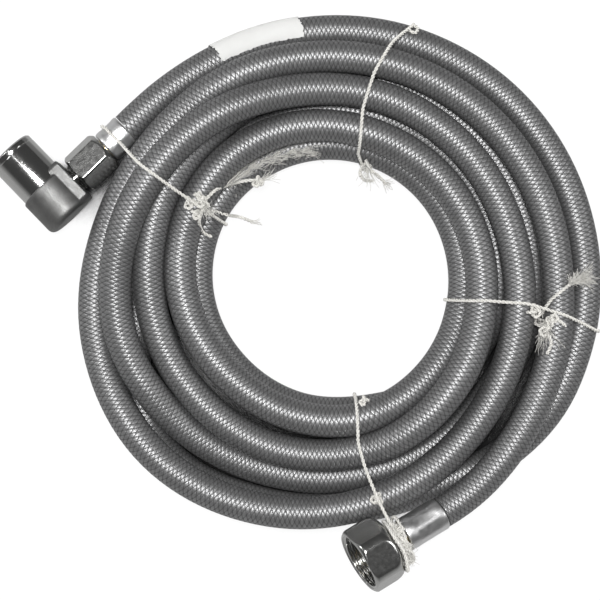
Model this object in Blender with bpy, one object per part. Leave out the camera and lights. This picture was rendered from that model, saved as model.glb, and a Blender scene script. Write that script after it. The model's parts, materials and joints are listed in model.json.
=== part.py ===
"""A dishwasher inlet hose, wound in a tied coil: braided hose, a swivel coupling nut on one end and a
compression elbow on the other. Metres, +Z up. The coil lies on z = 0, and the elbow's two legs run
along X and Y.
"""
import math

import bmesh
import bpy
import numpy as np
from mathutils import Matrix, Vector

MM = 0.001
CLEARANCE = 0.3 * MM
SIDES = 36
INNER_SIDES = 24

# The hose
HOSE_DIAMETER = 14.5 * MM
HOSE_RADIUS = HOSE_DIAMETER / 2
COIL_CENTRE = Vector((0.163 * MM, -11.629 * MM, 0.0))
TURN_STEP = 5.0
LEAD_STEPS = 5
LEAD_STRAIGHT = 1.5 * MM
LYING_FLAT = 0.6 * MM
FACE_EDGE = 0.02
SETTLE_ROUNDS = 600

# The route of the whole hose, from the inlet ferrule to the elbow ferrule: angle round the coil's
# centre in degrees, radius in millimetres, and first height in hose radii above the floor
TURN_STATIONS = [
    (250.4, 115.7, 2.90), (256, 114.5, 2.85), (270, 110.2, 2.98), (285, 106.0, 3.00), (300, 103.2, 2.70),
    (315, 100.1, 2.60), (330, 99.2, 2.60), (360, 98.3, 2.60), (390, 98.1, 2.60), (420, 98.6, 2.60),
    (450, 99.6, 2.60), (480, 103.3, 2.40), (510, 110.2, 2.60), (540, 113.1, 3.00), (570, 108.4, 3.00),
    (600, 100.2, 3.00), (630, 91.1, 2.80), (660, 84.8, 2.60), (690, 81.2, 2.60), (720, 81.2, 2.60),
    (750, 82.8, 2.60), (780, 84.8, 2.80), (810, 89.6, 3.20), (840, 94.7, 3.00), (870, 98.7, 2.80),
    (900, 95.4, 2.40), (930, 92.0, 1.60), (960, 89.8, 1.00), (990, 87.8, 1.00), (1020, 89.1, 1.00),
    (1050, 90.4, 1.00), (1080, 90.9, 1.00), (1110, 91.4, 1.00), (1140, 89.1, 1.00), (1170, 84.4, 1.80),
    (1200, 82.6, 2.80), (1230, 82.6, 2.80), (1260, 81.9, 2.60), (1290, 81.2, 2.60), (1320, 77.6, 2.60),
    (1350, 72.0, 2.60), (1380, 67.3, 2.60), (1410, 65.0, 2.60), (1440, 64.6, 2.60), (1470, 65.7, 2.60),
    (1500, 69.1, 2.60), (1530, 71.4, 2.60), (1560, 72.0, 2.60), (1590, 67.7, 2.80), (1620, 64.6, 2.90),
    (1650, 64.4, 2.90), (1680, 64.3, 2.90), (1710, 61.6, 2.80), (1740, 59.7, 1.80), (1770, 58.9, 1.00),
    (1800, 59.2, 1.00), (1830, 59.9, 1.00), (1860, 61.0, 1.00), (1890, 62.2, 1.00), (1920, 62.6, 1.00),
    (1950, 61.9, 1.00), (1980, 61.0, 1.00), (2010, 61.4, 1.00), (2040, 62.3, 1.00), (2070, 68.4, 1.00),
    (2100, 72.9, 1.00), (2130, 74.7, 1.00), (2160, 75.4, 1.00), (2190, 75.6, 1.00), (2220, 76.1, 1.00),
    (2250, 76.7, 1.00), (2280, 79.7, 1.00), (2310, 92.3, 1.00), (2340, 109.8, 1.00), (2370, 107.1, 1.00),
    (2400, 104.0, 1.00), (2415, 105.3, 1.00), (2430, 111.2, 1.00), (2445, 114.5, 1.00), (2460, 114.4, 1.00),
    (2490, 113.4, 1.00), (2520, 112.8, 1.00), (2550, 111.8, 1.00), (2580, 111.4, 1.00), (2600, 111.7, 1.25),
    (2610, 112.8, 1.50), (2620.4, 115.0, 1.738),
]

# Twine: each tie crosses the coil on a line of (radius in millimetres, angle in degrees)
TWINE_RADIUS = 0.65 * MM
TIE_LINES = {
    "tie_left": [(54, 110), (74, 108), (99, 106), (112, 104), (122, 103)],
    "tie_top": [(51, 31), (56, 35), (75, 36.5), (92, 35), (108, 32), (119, 28.5)],
    "tie_right": [(51, 304.5), (68, 307), (86, 308), (104, 306.5), (120, 304.5)],
    "tie_bottom": [(55, 236), (74, 234), (85, 235), (100, 237), (121, 240)],
}
TIE_LIFT = 2 * (TWINE_RADIUS + CLEARANCE)
TIE_LIFT_SPREAD = 10.0

# Label on the outer turn: its angles round the coil, and how far it wraps round the hose
LABEL_FROM = 53.0
LABEL_TO = 74.5
LABEL_UNDER = -62.0
LABEL_OVER = 112.0
LABEL_THICKNESS = 0.35 * MM

# Stems, inner tube and ferrules
STEM_BORE = 3.7 * MM
BARB_RADIUS = 4.8 * MM
BARB_DEPTH = 0.5 * MM
NECK_RADIUS = 4.9 * MM
FERRULE_WALL = 0.7 * MM
FERRULE_STAND = 0.4 * MM
FERRULE_END_WALL = 1.1 * MM
FERRULE_LIP = 0.5 * MM
CRIMP_DEPTH = 0.3 * MM
CRIMP_FLATS = 9
FERRULE_RADIUS = HOSE_RADIUS + FERRULE_STAND
FERRULE_BORE = FERRULE_RADIUS - FERRULE_WALL - CRIMP_DEPTH

# Inlet end: places along its axis, counted from the ferrule's hose end
INLET_HEADING = 165.5
INLET_TILT = 15.0
INLET_FERRULE_LENGTH = 20.3 * MM
INLET_COLLAR_RADIUS = 6.5 * MM
INLET_COLLAR_LENGTH = 6.4 * MM
INLET_NUT_LENGTH = 16.6 * MM
INLET_NUT_FLATS = 28.6 * MM
INLET_NUT_CORNER = 15.6 * MM
INLET_NUT_HEX_LENGTH = 10.6 * MM
INLET_NUT_BACK_WALL = 2.3 * MM
INLET_NUT_BACK_RADIUS = 10.6 * MM
INLET_NUT_BORE = 13.2 * MM
INLET_NUT_CHAMFER = 0.7 * MM
INLET_HOLE_RADIUS = 6.1 * MM
INLET_FLANGE_RADIUS = 11.0 * MM
INLET_FLANGE_LENGTH = 2.0 * MM
INLET_NOSE_RADIUS = 6.8 * MM
INLET_NOSE_LENGTH = 4.2 * MM
INLET_WASHER_LENGTH = 2.7 * MM

# Elbow end: places along its axis, counted from the ferrule's hose end
ELBOW_HEADING = 180.0
ELBOW_FERRULE_LENGTH = 12.3 * MM
COMPRESSION_NUT_LENGTH = 17.5 * MM
COMPRESSION_NUT_FLATS = 17.8 * MM
COMPRESSION_NUT_BACK_WALL = 3.0 * MM
COMPRESSION_NUT_BORE = 6.9 * MM
COMPRESSION_NUT_CHAMFER = 2.0 * MM
STEM_HEAD_RADIUS = 6.5 * MM
STEM_HEAD_LENGTH = 2.1 * MM
STEM_NOSE_RADIUS = 4.7 * MM
STEM_NOSE_LENGTH = 2.0 * MM
CONE_WASHER_LENGTH = 2.9 * MM
CONE_WASHER_TAPER = 0.7 * MM
SPIGOT_LENGTH = 10.9 * MM
ELBOW_BODY_RADIUS = 12.1 * MM
COLLAR_STAND = 0.3 * MM
BLOCK_HALF_HEIGHT = 9.2 * MM
BLOCK_HALF_WIDTH = 11.1 * MM
BLOCK_CORNER_RADIUS = 13.2 * MM
ELBOW_BODY_TOP = 7.0 * MM
ELBOW_BODY_END = 11.5 * MM
ELBOW_END_FILLET = 3.0 * MM
SOCKET_RADIUS = 11.2 * MM
SOCKET_REACH = 29.3 * MM
SOCKET_BORE = 8.0 * MM
SOCKET_DEPTH = 14.0 * MM
SOCKET_CHAMFER = 0.8 * MM
ELBOW_PASSAGE = 4.3 * MM

FINISHES = {
    "braid": ((0.42, 0.42, 0.43), 0.38, 0.9),
    "ferrule": ((0.55, 0.55, 0.55), 0.28, 1.0),
    "nickel": ((0.45, 0.45, 0.44), 0.32, 1.0),
    "forging": ((0.38, 0.38, 0.37), 0.45, 1.0),
    "brass": ((0.72, 0.58, 0.30), 0.30, 1.0),
    "rubber": ((0.03, 0.03, 0.03), 0.70, 0.0),
    "liner": ((0.75, 0.74, 0.70), 0.60, 0.0),
    "twine": ((0.82, 0.80, 0.74), 0.90, 0.0),
    "paper": ((0.93, 0.93, 0.92), 0.75, 0.0),
}


def material(finish):
    """Returns the named finish, made on its first use."""
    found = bpy.data.materials.get(finish)
    if found:
        return found
    colour, roughness, metallic = FINISHES[finish]
    made = bpy.data.materials.new(finish)
    made.use_nodes = True
    shader = made.node_tree.nodes["Principled BSDF"]
    shader.inputs["Base Color"].default_value = (*colour, 1.0)
    shader.inputs["Roughness"].default_value = roughness
    shader.inputs["Metallic"].default_value = metallic
    return made


def add_object(name, mesh, finish, parent=None):
    obj = bpy.data.objects.new(name, mesh)
    bpy.context.scene.collection.objects.link(obj)
    obj.data.materials.clear()
    obj.data.materials.append(material(finish))
    if parent:
        obj.parent = parent
    return obj


def mesh_from(bm, name, smooth=True):
    """Turns a bmesh into a mesh with its faces pointing out, shaded smooth up to 35 degrees."""
    bmesh.ops.recalc_face_normals(bm, faces=bm.faces)
    mesh = bpy.data.meshes.new(name)
    bm.to_mesh(mesh)
    bm.free()
    if smooth:
        mesh.shade_smooth()
        mesh.set_sharp_from_angle(angle=math.radians(35))
    return mesh


# The hose's route

def in_plan(heading):
    a = math.radians(heading)
    return Vector((math.cos(a), math.sin(a), 0.0))


def direction(heading, tilt):
    return in_plan(heading) * math.cos(math.radians(tilt)) + Vector((0, 0, math.sin(math.radians(tilt))))


def end_slopes(angle, radius, heading, tilt):
    """How radius and height change per degree at a hose end that points along heading and tilt."""
    along = direction(heading, tilt)
    outward = in_plan(angle)
    round_coil = in_plan(angle + 90)
    per_degree = radius * math.radians(1.0) / along.dot(round_coil)
    return along.dot(outward) * per_degree, along.z * per_degree


def through_stations(angles):
    """Radius and first height at each angle, on one smooth curve through the stations."""
    at = np.array([s[0] for s in TURN_STATIONS], float)
    radius = np.array([s[1] for s in TURN_STATIONS]) * MM
    height = np.array([s[2] for s in TURN_STATIONS]) * HOSE_RADIUS
    first = end_slopes(at[0], radius[0], INLET_HEADING, INLET_TILT)
    last = end_slopes(at[-1], radius[-1], ELBOW_HEADING, 0.0)
    curves = []
    for column, values in enumerate((radius, height)):
        slope = np.gradient(values, at)
        slope[0] = first[column]
        slope[-1] = last[column]
        k = np.clip(np.searchsorted(at, angles, side="right") - 1, 0, len(at) - 2)
        span = at[k + 1] - at[k]
        t = (angles - at[k]) / span
        curves.append(
            (2*t**3 - 3*t**2 + 1) * values[k] + (t**3 - 2*t**2 + t) * span * slope[k]
            + (3*t**2 - 2*t**3) * values[k + 1] + (t**3 - t**2) * span * slope[k + 1])
    return curves


def tie_angle(name, radius):
    line = TIE_LINES[name]
    return float(np.interp(radius, [p[0] * MM for p in line], [p[1] for p in line]))


def floor_under(angles):
    """Lowest height of the hose's centre: it lies on the floor, and on the twine where a tie passes."""
    lift = np.zeros(len(angles))
    middle = sum(r for _, r, _ in TURN_STATIONS) / len(TURN_STATIONS) * MM
    for name in TIE_LINES:
        away = (angles - tie_angle(name, middle) + 180) % 360 - 180
        lift = np.maximum(lift, TIE_LIFT * np.exp(-(away / TIE_LIFT_SPREAD)**4))
    return HOSE_RADIUS + lift


def settled_turns():
    """Lets the wound hose settle: turns that meet push each other apart and all of them sink."""
    first, last = TURN_STATIONS[0][0], TURN_STATIONS[-1][0]
    count = round((last - first) / TURN_STEP) + 1
    angles = np.linspace(first, last, count)
    planned, height = through_stations(angles)
    radius = planned.copy()
    floor = floor_under(angles)
    ends = height[:2].copy(), height[-2:].copy()
    turn = round(360 / TURN_STEP)
    for step in range(SETTLE_ROUNDS):
        late = step > 0.8 * SETTLE_ROUNDS
        height[1:-1] += (0.02 if late else 0.2) * (height[:-2] + height[2:] - 2 * height[1:-1])
        height[1:-1] -= 0.0 if late else 0.03 * MM
        drift = radius - planned
        radius[1:-1] += 0.05 * (drift[:-2] + drift[2:] - 2 * drift[1:-1])
        radius -= (0.02 if late else 0.15) * drift
        for apart in range(turn, count, turn):
            across = radius[apart:] - radius[:-apart]
            up = height[apart:] - height[:-apart]
            distance = np.maximum(np.hypot(across, up), 1e-6)
            push = 0.5 * np.maximum(HOSE_DIAMETER - distance, 0) / distance
            radius[apart:] += 0.3 * push * across
            radius[:-apart] -= 0.3 * push * across
            height[apart:] += push * up
            height[:-apart] -= push * up
        height = np.maximum(height, floor)
        height[:2], height[-2:] = ends
        radius[:2], radius[-2:] = planned[:2], planned[-2:]
    return angles, radius, height


class Turns:
    """The settled hose, read at any angle."""

    def __init__(self):
        self.angles, self.radii, self.heights = settled_turns()
        lead_in, lead_out = LEAD_STEPS, len(self.angles) - 1 - LEAD_STEPS
        self.ring_from = self.angles[lead_in] + self.face_gap(lead_in)
        self.ring_to = self.angles[lead_out] - self.face_gap(lead_out)

    def face_gap(self, index):
        """The angle between a lead's end face and the coil's, with the clearance on its inner side."""
        return math.degrees(CLEARANCE / (self.radii[index] - HOSE_RADIUS)) + 2 * FACE_EDGE

    def read(self, angle):
        return (float(np.interp(angle, self.angles, self.radii)),
                float(np.interp(angle, self.angles, self.heights)))

    def point(self, index):
        return COIL_CENTRE + in_plan(self.angles[index]) * self.radii[index] + Vector((0, 0, self.heights[index]))

    def lead(self, first, last, leaving, arriving):
        """The points of a free end, with a short straight where each end meets another face squarely."""
        points = [self.point(i) for i in range(first, last + 1)]
        points.insert(1, points[0] + leaving * LEAD_STRAIGHT)
        points.insert(-1, points[-1] - arriving * LEAD_STRAIGHT)
        return points

    def crossing(self, angle):
        """Radius and height of every turn of the coil's solid that passes this angle of one circle."""
        found = []
        lap = angle % 360
        while lap < self.ring_to:
            if lap > self.ring_from:
                found.append(self.read(lap))
            lap += 360
        return found


# The coil

TOP_COLUMNS = 26
BOTTOM_COLUMNS = 9


def covering_top(strands, reach, u):
    return max((z + math.sqrt(max(reach**2 - (u - r)**2, 0)) for r, z in strands if abs(u - r) <= reach),
               default=HOSE_RADIUS + CLEARANCE)


def covering_bottom(strands, reach, u):
    """The lowest surface at radius u, pressed flat where it lies on the floor. Between the outermost
    lower turns it is closed at their middle.
    """
    lower = [r for r, z in strands if z < HOSE_DIAMETER]
    below = min((z - math.sqrt(HOSE_RADIUS**2 - (u - r)**2) for r, z in strands if abs(u - r) <= reach),
                default=HOSE_RADIUS - CLEARANCE)
    if lower and min(lower) < u < max(lower):
        below = min(below, HOSE_RADIUS - CLEARANCE)
    return 0.0 if below < LYING_FLAT else below


def coil_outline(strands):
    """The outline of one cut through the coil: over the turns' tops from inside to outside, and back."""
    reach = HOSE_RADIUS - CLEARANCE
    inner, outer = min(strands), max(strands)
    start, end = inner[0] - reach, outer[0] + reach
    span = end - start
    top = [0.004, 0.018] + [i / TOP_COLUMNS for i in range(1, TOP_COLUMNS)] + [0.982, 0.996]
    bottom = [0.992, 0.97] + [1 - i / BOTTOM_COLUMNS for i in range(1, BOTTOM_COLUMNS)] + [0.03, 0.008]
    outline = [(start, inner[1])]
    outline += [(start + t * span, covering_top(strands, reach, start + t * span)) for t in top]
    outline += [(end, outer[1])]
    outline += [(start + t * span, covering_bottom(strands, reach, start + t * span)) for t in bottom]
    return outline


def build_coil(turns):
    """One closed ring with the turns' own outer shape, stepped where each lead leaves it."""
    cuts = [float(a % 360) for a in turns.angles[:round(360 / TURN_STEP)]]
    for face in (turns.ring_from % 360, turns.ring_to % 360):
        cuts = [c for c in cuts if abs(c - face) > 1.0]
        cuts += [face - FACE_EDGE, face + FACE_EDGE]
    bm = bmesh.new()
    rings = []
    for cut in sorted(cuts):
        ring = []
        for radius, height in coil_outline(turns.crossing(cut)):
            ring.append(bm.verts.new(COIL_CENTRE + in_plan(cut) * radius + Vector((0, 0, height))))
        rings.append(ring)
    for ring, following in zip(rings, rings[1:] + rings[:1]):
        for i in range(len(ring)):
            j = (i + 1) % len(ring)
            bm.faces.new((ring[i], ring[j], following[j], following[i]))
    bmesh.ops.triangulate(bm, faces=bm.faces)
    return add_object("hose_coil", mesh_from(bm, "hose_coil"), "braid")


def build_tube(name, points, radius, finish, resolution, cyclic=False):
    """A plain tube through the points, with closed ends."""
    curve = bpy.data.curves.new(name, "CURVE")
    curve.dimensions = "3D"
    curve.bevel_depth = radius
    curve.bevel_resolution = resolution
    curve.use_fill_caps = not cyclic
    spline = curve.splines.new("POLY")
    spline.points.add(len(points) - 1)
    for target, point in zip(spline.points, points):
        target.co = (*point, 1.0)
    spline.use_cyclic_u = cyclic
    return add_object(name, curve, finish)


# Turned pieces

def axis_frame(start, heading, tilt):
    """A frame whose +Z leaves the hose along heading and tilt, with its +X as near up as it can be."""
    along = direction(heading, tilt)
    up = (Vector((0, 0, 1)) - along * along.z).normalized()
    side = along.cross(up)
    frame = Matrix((up, side, along)).transposed().to_4x4()
    frame.translation = start
    return frame


def flat_radius(radius, apothem, flats, angle):
    """Radius of a turned piece at an angle, cut back where a flat is nearer the axis."""
    if not apothem:
        return radius
    pitch = 2 * math.pi / flats
    off = (angle + pitch / 2) % pitch - pitch / 2
    return min(radius, apothem / math.cos(off))


def turned(name, sections, frame, finish, parent=None, flats=6, sides=SIDES):
    """A closed turned body. Each section is (place along the axis, radius, distance to a flat or 0)."""
    bm = bmesh.new()
    rings = []
    for along, radius, apothem in sections:
        ring = []
        for i in range(sides):
            a = 2 * math.pi * i / sides
            r = flat_radius(radius, apothem, flats, a)
            ring.append(bm.verts.new((r * math.cos(a), r * math.sin(a), along)))
        rings.append(ring)
    for ring, following in zip(rings, rings[1:] + rings[:1]):
        for i in range(sides):
            j = (i + 1) % sides
            bm.faces.new((ring[i], ring[j], following[j], following[i]))
    obj = add_object(name, mesh_from(bm, name), finish, parent)
    obj.matrix_world = frame
    return obj


def barbs(start, end, count):
    """Saw-tooth sections that grip the inner tube."""
    pitch = (end - start) / count
    sections = []
    for i in range(count):
        sections.append((start + i * pitch, BARB_RADIUS - BARB_DEPTH, 0))
        sections.append((start + (i + 0.85) * pitch, BARB_RADIUS, 0))
    return sections


def build_ferrule(name, length, frame):
    """A sleeve crimped over the hose end, with an end wall round the stem's neck."""
    crimp_from = 0.2 * length
    crimp_to = 0.72 * length
    crimped = FERRULE_RADIUS - CRIMP_DEPTH
    inner_end = length - FERRULE_END_WALL
    sections = [
        (0, FERRULE_RADIUS - FERRULE_LIP, 0), (FERRULE_LIP, FERRULE_RADIUS, 0),
        (crimp_from, FERRULE_RADIUS, 0), (crimp_from + FERRULE_LIP, FERRULE_RADIUS, crimped),
        (crimp_to, FERRULE_RADIUS, crimped), (crimp_to + FERRULE_LIP, FERRULE_RADIUS, 0),
        (length - FERRULE_LIP, FERRULE_RADIUS, 0), (length, FERRULE_RADIUS - FERRULE_LIP, 0),
        (length, NECK_RADIUS + CLEARANCE, 0), (inner_end, NECK_RADIUS + CLEARANCE, 0),
        (inner_end, FERRULE_BORE, 0), (0, FERRULE_BORE, 0),
    ]
    return turned(name, sections, frame, "ferrule", flats=CRIMP_FLATS)


def build_tube_end(name, ferrule_length, frame):
    """The inner tube's crimped end, between the barbs and the ferrule."""
    outer = FERRULE_BORE - CLEARANCE
    inner = BARB_RADIUS + CLEARANCE
    end = ferrule_length - FERRULE_END_WALL - CLEARANCE
    sections = [(0, inner, 0), (0, outer, 0), (end, outer, 0), (end, inner, 0)]
    return turned(name, sections, frame, "liner", sides=INNER_SIDES)


# Inlet end

def inlet_places():
    """Where each face lies along the inlet axis, worked out from the lengths."""
    collar = INLET_FERRULE_LENGTH + CLEARANCE
    nut = collar + INLET_COLLAR_LENGTH + CLEARANCE
    flange = nut + INLET_NUT_BACK_WALL + CLEARANCE
    washer = flange + INLET_FLANGE_LENGTH + CLEARANCE
    return {"collar": collar, "nut": nut, "flange": flange, "washer": washer,
            "mouth": nut + INLET_NUT_LENGTH, "nose": flange + INLET_FLANGE_LENGTH + INLET_NOSE_LENGTH}


def build_inlet_stem(frame):
    at = inlet_places()
    neck = INLET_HOLE_RADIUS - CLEARANCE
    barb_from = CLEARANCE
    barb_to = INLET_FERRULE_LENGTH - FERRULE_END_WALL - CLEARANCE
    flange_to = at["flange"] + INLET_FLANGE_LENGTH
    flare = 1.2 * MM
    sections = [(barb_from, STEM_BORE, 0)]
    sections += barbs(barb_from, barb_to, 4)
    sections += [
        (barb_to, NECK_RADIUS, 0), (at["collar"], NECK_RADIUS, 0),
        (at["collar"], INLET_COLLAR_RADIUS, 0),
        (at["collar"] + INLET_COLLAR_LENGTH, INLET_COLLAR_RADIUS, 0),
        (at["collar"] + INLET_COLLAR_LENGTH, neck, 0), (at["flange"], neck, 0),
        (at["flange"], INLET_FLANGE_RADIUS, 0), (flange_to, INLET_FLANGE_RADIUS, 0),
        (flange_to, INLET_NOSE_RADIUS, 0), (at["nose"] - CLEARANCE, INLET_NOSE_RADIUS, 0),
        (at["nose"], INLET_NOSE_RADIUS - CLEARANCE, 0), (at["nose"], STEM_BORE + flare, 0),
        (at["nose"] - 2 * flare, STEM_BORE, 0),
    ]
    return turned("inlet_stem", sections, frame, "brass", sides=INNER_SIDES)


def build_inlet_nut(frame, parent):
    """The coupling nut: a rounded shoulder, six flats and a wide threaded mouth."""
    at = inlet_places()
    back, mouth = at["nut"], at["mouth"]
    hex_from = mouth - INLET_NUT_HEX_LENGTH
    apothem = INLET_NUT_FLATS / 2
    shoulder = []
    for i in range(5):
        a = math.radians(90 * i / 4)
        r = INLET_NUT_BACK_RADIUS + (INLET_NUT_CORNER - INLET_NUT_BACK_RADIUS) * math.sin(a)
        shoulder.append((back + (hex_from - back) * (1 - math.cos(a)), r, 0))
    cavity = back + INLET_NUT_BACK_WALL
    cavity_corner = 1.4 * MM
    sections = [(back, INLET_HOLE_RADIUS, 0)] + shoulder + [
        (hex_from + INLET_NUT_CHAMFER, INLET_NUT_CORNER, apothem),
        (mouth - 1.5 * INLET_NUT_CHAMFER, INLET_NUT_CORNER, apothem),
        (mouth - 0.5 * INLET_NUT_CHAMFER, apothem + CLEARANCE, apothem),
        (mouth, apothem - CLEARANCE, 0),
        (mouth, INLET_NUT_BORE + CLEARANCE, 0), (mouth - INLET_NUT_CHAMFER, INLET_NUT_BORE, 0),
        (cavity + cavity_corner, INLET_NUT_BORE, 0),
        (cavity, INLET_NUT_BORE - cavity_corner, 0), (cavity, INLET_HOLE_RADIUS, 0),
    ]
    return turned("inlet_nut", sections, frame, "nickel", parent)


def build_inlet_washer(frame, parent):
    start = inlet_places()["washer"]
    end = start + INLET_WASHER_LENGTH
    outer = INLET_NUT_BORE - 2 * CLEARANCE
    inner = INLET_NOSE_RADIUS + CLEARANCE
    sections = [(start, inner, 0), (start, outer, 0), (end, outer, 0), (end, inner, 0)]
    return turned("inlet_washer", sections, frame, "rubber", parent, sides=INNER_SIDES)


def neck_turns_radius():
    return INLET_COLLAR_RADIUS + CLEARANCE + 2 * TWINE_RADIUS


def build_neck_twine(frame):
    """The twine wound round the stem's collar, as one sleeve with a ridge for each turn."""
    start = inlet_places()["collar"] + CLEARANCE
    inner = INLET_COLLAR_RADIUS + CLEARANCE
    count = int((INLET_COLLAR_LENGTH - 2 * CLEARANCE) / (2 * TWINE_RADIUS))
    sections = [(start, inner, 0)]
    for i in range(count):
        middle = start + (2 * i + 1) * TWINE_RADIUS
        sections.append((middle - 0.8 * TWINE_RADIUS, inner + 1.4 * TWINE_RADIUS, 0))
        sections.append((middle, neck_turns_radius(), 0))
        sections.append((middle + 0.8 * TWINE_RADIUS, inner + 1.4 * TWINE_RADIUS, 0))
    sections.append((start + 2 * count * TWINE_RADIUS, inner, 0))
    return turned("neck_twine", sections, frame, "twine", sides=INNER_SIDES)


# Elbow end

def elbow_places():
    """Where each face lies along the elbow end's axis, worked out from the lengths."""
    nut = ELBOW_FERRULE_LENGTH + CLEARANCE
    head = nut + COMPRESSION_NUT_BACK_WALL + CLEARANCE
    washer = head + STEM_HEAD_LENGTH + CLEARANCE
    spigot = washer + CONE_WASHER_LENGTH + CLEARANCE
    return {"nut": nut, "head": head, "washer": washer, "spigot": spigot,
            "centre": spigot + SPIGOT_LENGTH + COLLAR_STAND + ELBOW_BODY_RADIUS}


def build_elbow_stem(frame):
    at = elbow_places()
    barb_from = CLEARANCE
    barb_to = ELBOW_FERRULE_LENGTH - FERRULE_END_WALL - CLEARANCE
    head_to = at["head"] + STEM_HEAD_LENGTH
    nose_to = head_to + STEM_NOSE_LENGTH
    sections = [(barb_from, STEM_BORE, 0)]
    sections += barbs(barb_from, barb_to, 3)
    sections += [
        (barb_to, NECK_RADIUS, 0), (at["head"], NECK_RADIUS, 0), (at["head"], STEM_HEAD_RADIUS, 0),
        (head_to, STEM_HEAD_RADIUS, 0), (head_to, STEM_NOSE_RADIUS, 0),
        (nose_to, STEM_NOSE_RADIUS - CLEARANCE, 0), (nose_to, STEM_BORE, 0),
    ]
    return turned("elbow_stem", sections, frame, "brass", sides=INNER_SIDES)


def build_compression_nut(frame, parent):
    at = elbow_places()
    back = at["nut"]
    front = back + COMPRESSION_NUT_LENGTH
    apothem = COMPRESSION_NUT_FLATS / 2
    corner = apothem / math.cos(math.pi / 6)
    hole = NECK_RADIUS + CLEARANCE
    cavity = back + COMPRESSION_NUT_BACK_WALL
    chamfer = COMPRESSION_NUT_CHAMFER
    sections = [
        (back, hole, 0), (back, apothem - chamfer / 2, 0), (back + chamfer / 2, apothem, apothem),
        (back + chamfer, corner, apothem), (front - chamfer / 2, corner, apothem),
        (front, apothem, apothem), (front, COMPRESSION_NUT_BORE + 2 * CLEARANCE, 0),
        (front - 2 * CLEARANCE, COMPRESSION_NUT_BORE, 0), (cavity, COMPRESSION_NUT_BORE, 0), (cavity, hole, 0),
    ]
    return turned("compression_nut", sections, frame, "nickel", parent)


def build_cone_washer(frame, parent):
    start = elbow_places()["washer"]
    end = start + CONE_WASHER_LENGTH
    outer = COMPRESSION_NUT_BORE - 2 * CLEARANCE
    inner = STEM_NOSE_RADIUS + CLEARANCE
    sections = [(start, inner, 0), (start, outer, 0), (end, outer - CONE_WASHER_TAPER, 0), (end, inner, 0)]
    return turned("cone_washer", sections, frame, "rubber", parent, sides=INNER_SIDES)


def block_radius(radius, block, angle):
    """Radius at an angle, cut back to a block of (half height along X, half width along Y)."""
    half_height, half_width = block
    up, side = max(abs(math.cos(angle)), 1e-6), max(abs(math.sin(angle)), 1e-6)
    return min(radius, half_height / up, half_width / side)


def solid_turning(name, profile, frame, block=None):
    """A solid without a bore: the profile's first and last points are closed with flat faces. Where a
    point's radius is larger than the block, its ring is cut back to it.
    """
    bm = bmesh.new()
    rings = []
    for along, radius in profile:
        ring = []
        for i in range(SIDES):
            a = 2 * math.pi * i / SIDES
            r = block_radius(radius, block, a) if block else radius
            ring.append(bm.verts.new((r * math.cos(a), r * math.sin(a), along)))
        rings.append(ring)
    for ring, following in zip(rings, rings[1:]):
        for i in range(SIDES):
            j = (i + 1) % SIDES
            bm.faces.new((ring[i], ring[j], following[j], following[i]))
    bm.faces.new(rings[0])
    bm.faces.new(rings[-1])
    obj = add_object(name, mesh_from(bm, name), "forging")
    obj.matrix_world = frame
    return obj


def combine(target, tool, operation):
    """Adds or cuts a tool that then stays hidden beside the model."""
    tool.hide_render = True
    tool.display_type = "WIRE"
    modifier = target.modifiers.new(tool.name, "BOOLEAN")
    modifier.operation = operation
    modifier.object = tool
    modifier.solver = "EXACT"


def build_elbow(frame, parent):
    """One forging: a body with a filleted end, a turned socket along +Y, and a block with flats that
    carries the spigot towards the hose.
    """
    at = elbow_places()
    centre = frame @ Vector((0, 0, at["centre"]))
    up_y = Matrix.Translation(centre) @ Matrix.Rotation(math.radians(-90), 4, "X")
    to_hose = Matrix.Translation(centre) @ Matrix.Rotation(math.radians(90), 4, "Y")
    base = []
    for i in range(5):
        a = math.radians(90 * i / 4)
        base.append((-ELBOW_BODY_END + ELBOW_END_FILLET * (1 - math.cos(a)),
                     ELBOW_BODY_RADIUS - ELBOW_END_FILLET * (1 - math.sin(a))))
    socket = base + [
        (ELBOW_BODY_TOP - 1.2 * MM, ELBOW_BODY_RADIUS), (ELBOW_BODY_TOP, SOCKET_RADIUS + CLEARANCE),
        (ELBOW_BODY_TOP + CLEARANCE, SOCKET_RADIUS), (SOCKET_REACH - SOCKET_CHAMFER, SOCKET_RADIUS),
        (SOCKET_REACH, SOCKET_RADIUS - SOCKET_CHAMFER),
    ]
    body = solid_turning("elbow_body", socket, up_y)
    collar = ELBOW_BODY_RADIUS + COLLAR_STAND
    spigot_end = collar + SPIGOT_LENGTH
    spigot_radius = COMPRESSION_NUT_BORE - CLEARANCE
    leg = solid_turning("elbow_leg", [
        (0, BLOCK_CORNER_RADIUS), (collar, BLOCK_CORNER_RADIUS),
        (collar, spigot_radius), (spigot_end - 2 * CLEARANCE, spigot_radius),
        (spigot_end, spigot_radius - 2 * CLEARANCE)], to_hose, (BLOCK_HALF_HEIGHT, BLOCK_HALF_WIDTH))
    bore = solid_turning("socket_cutter", [
        (0, ELBOW_PASSAGE), (SOCKET_REACH - SOCKET_DEPTH, ELBOW_PASSAGE),
        (SOCKET_REACH - SOCKET_DEPTH + 1.5 * MM, SOCKET_BORE), (SOCKET_REACH - SOCKET_CHAMFER, SOCKET_BORE),
        (SOCKET_REACH + MM, SOCKET_BORE + SOCKET_CHAMFER + MM)], up_y)
    passage = solid_turning("passage_cutter", [
        (-0.1 * MM, ELBOW_PASSAGE - 0.02 * MM), (spigot_end + MM, ELBOW_PASSAGE - 0.02 * MM)], to_hose)
    combine(body, leg, "UNION")
    combine(body, bore, "DIFFERENCE")
    combine(body, passage, "DIFFERENCE")
    body.parent = parent
    body.matrix_world = up_y


# Twine and label

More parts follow.
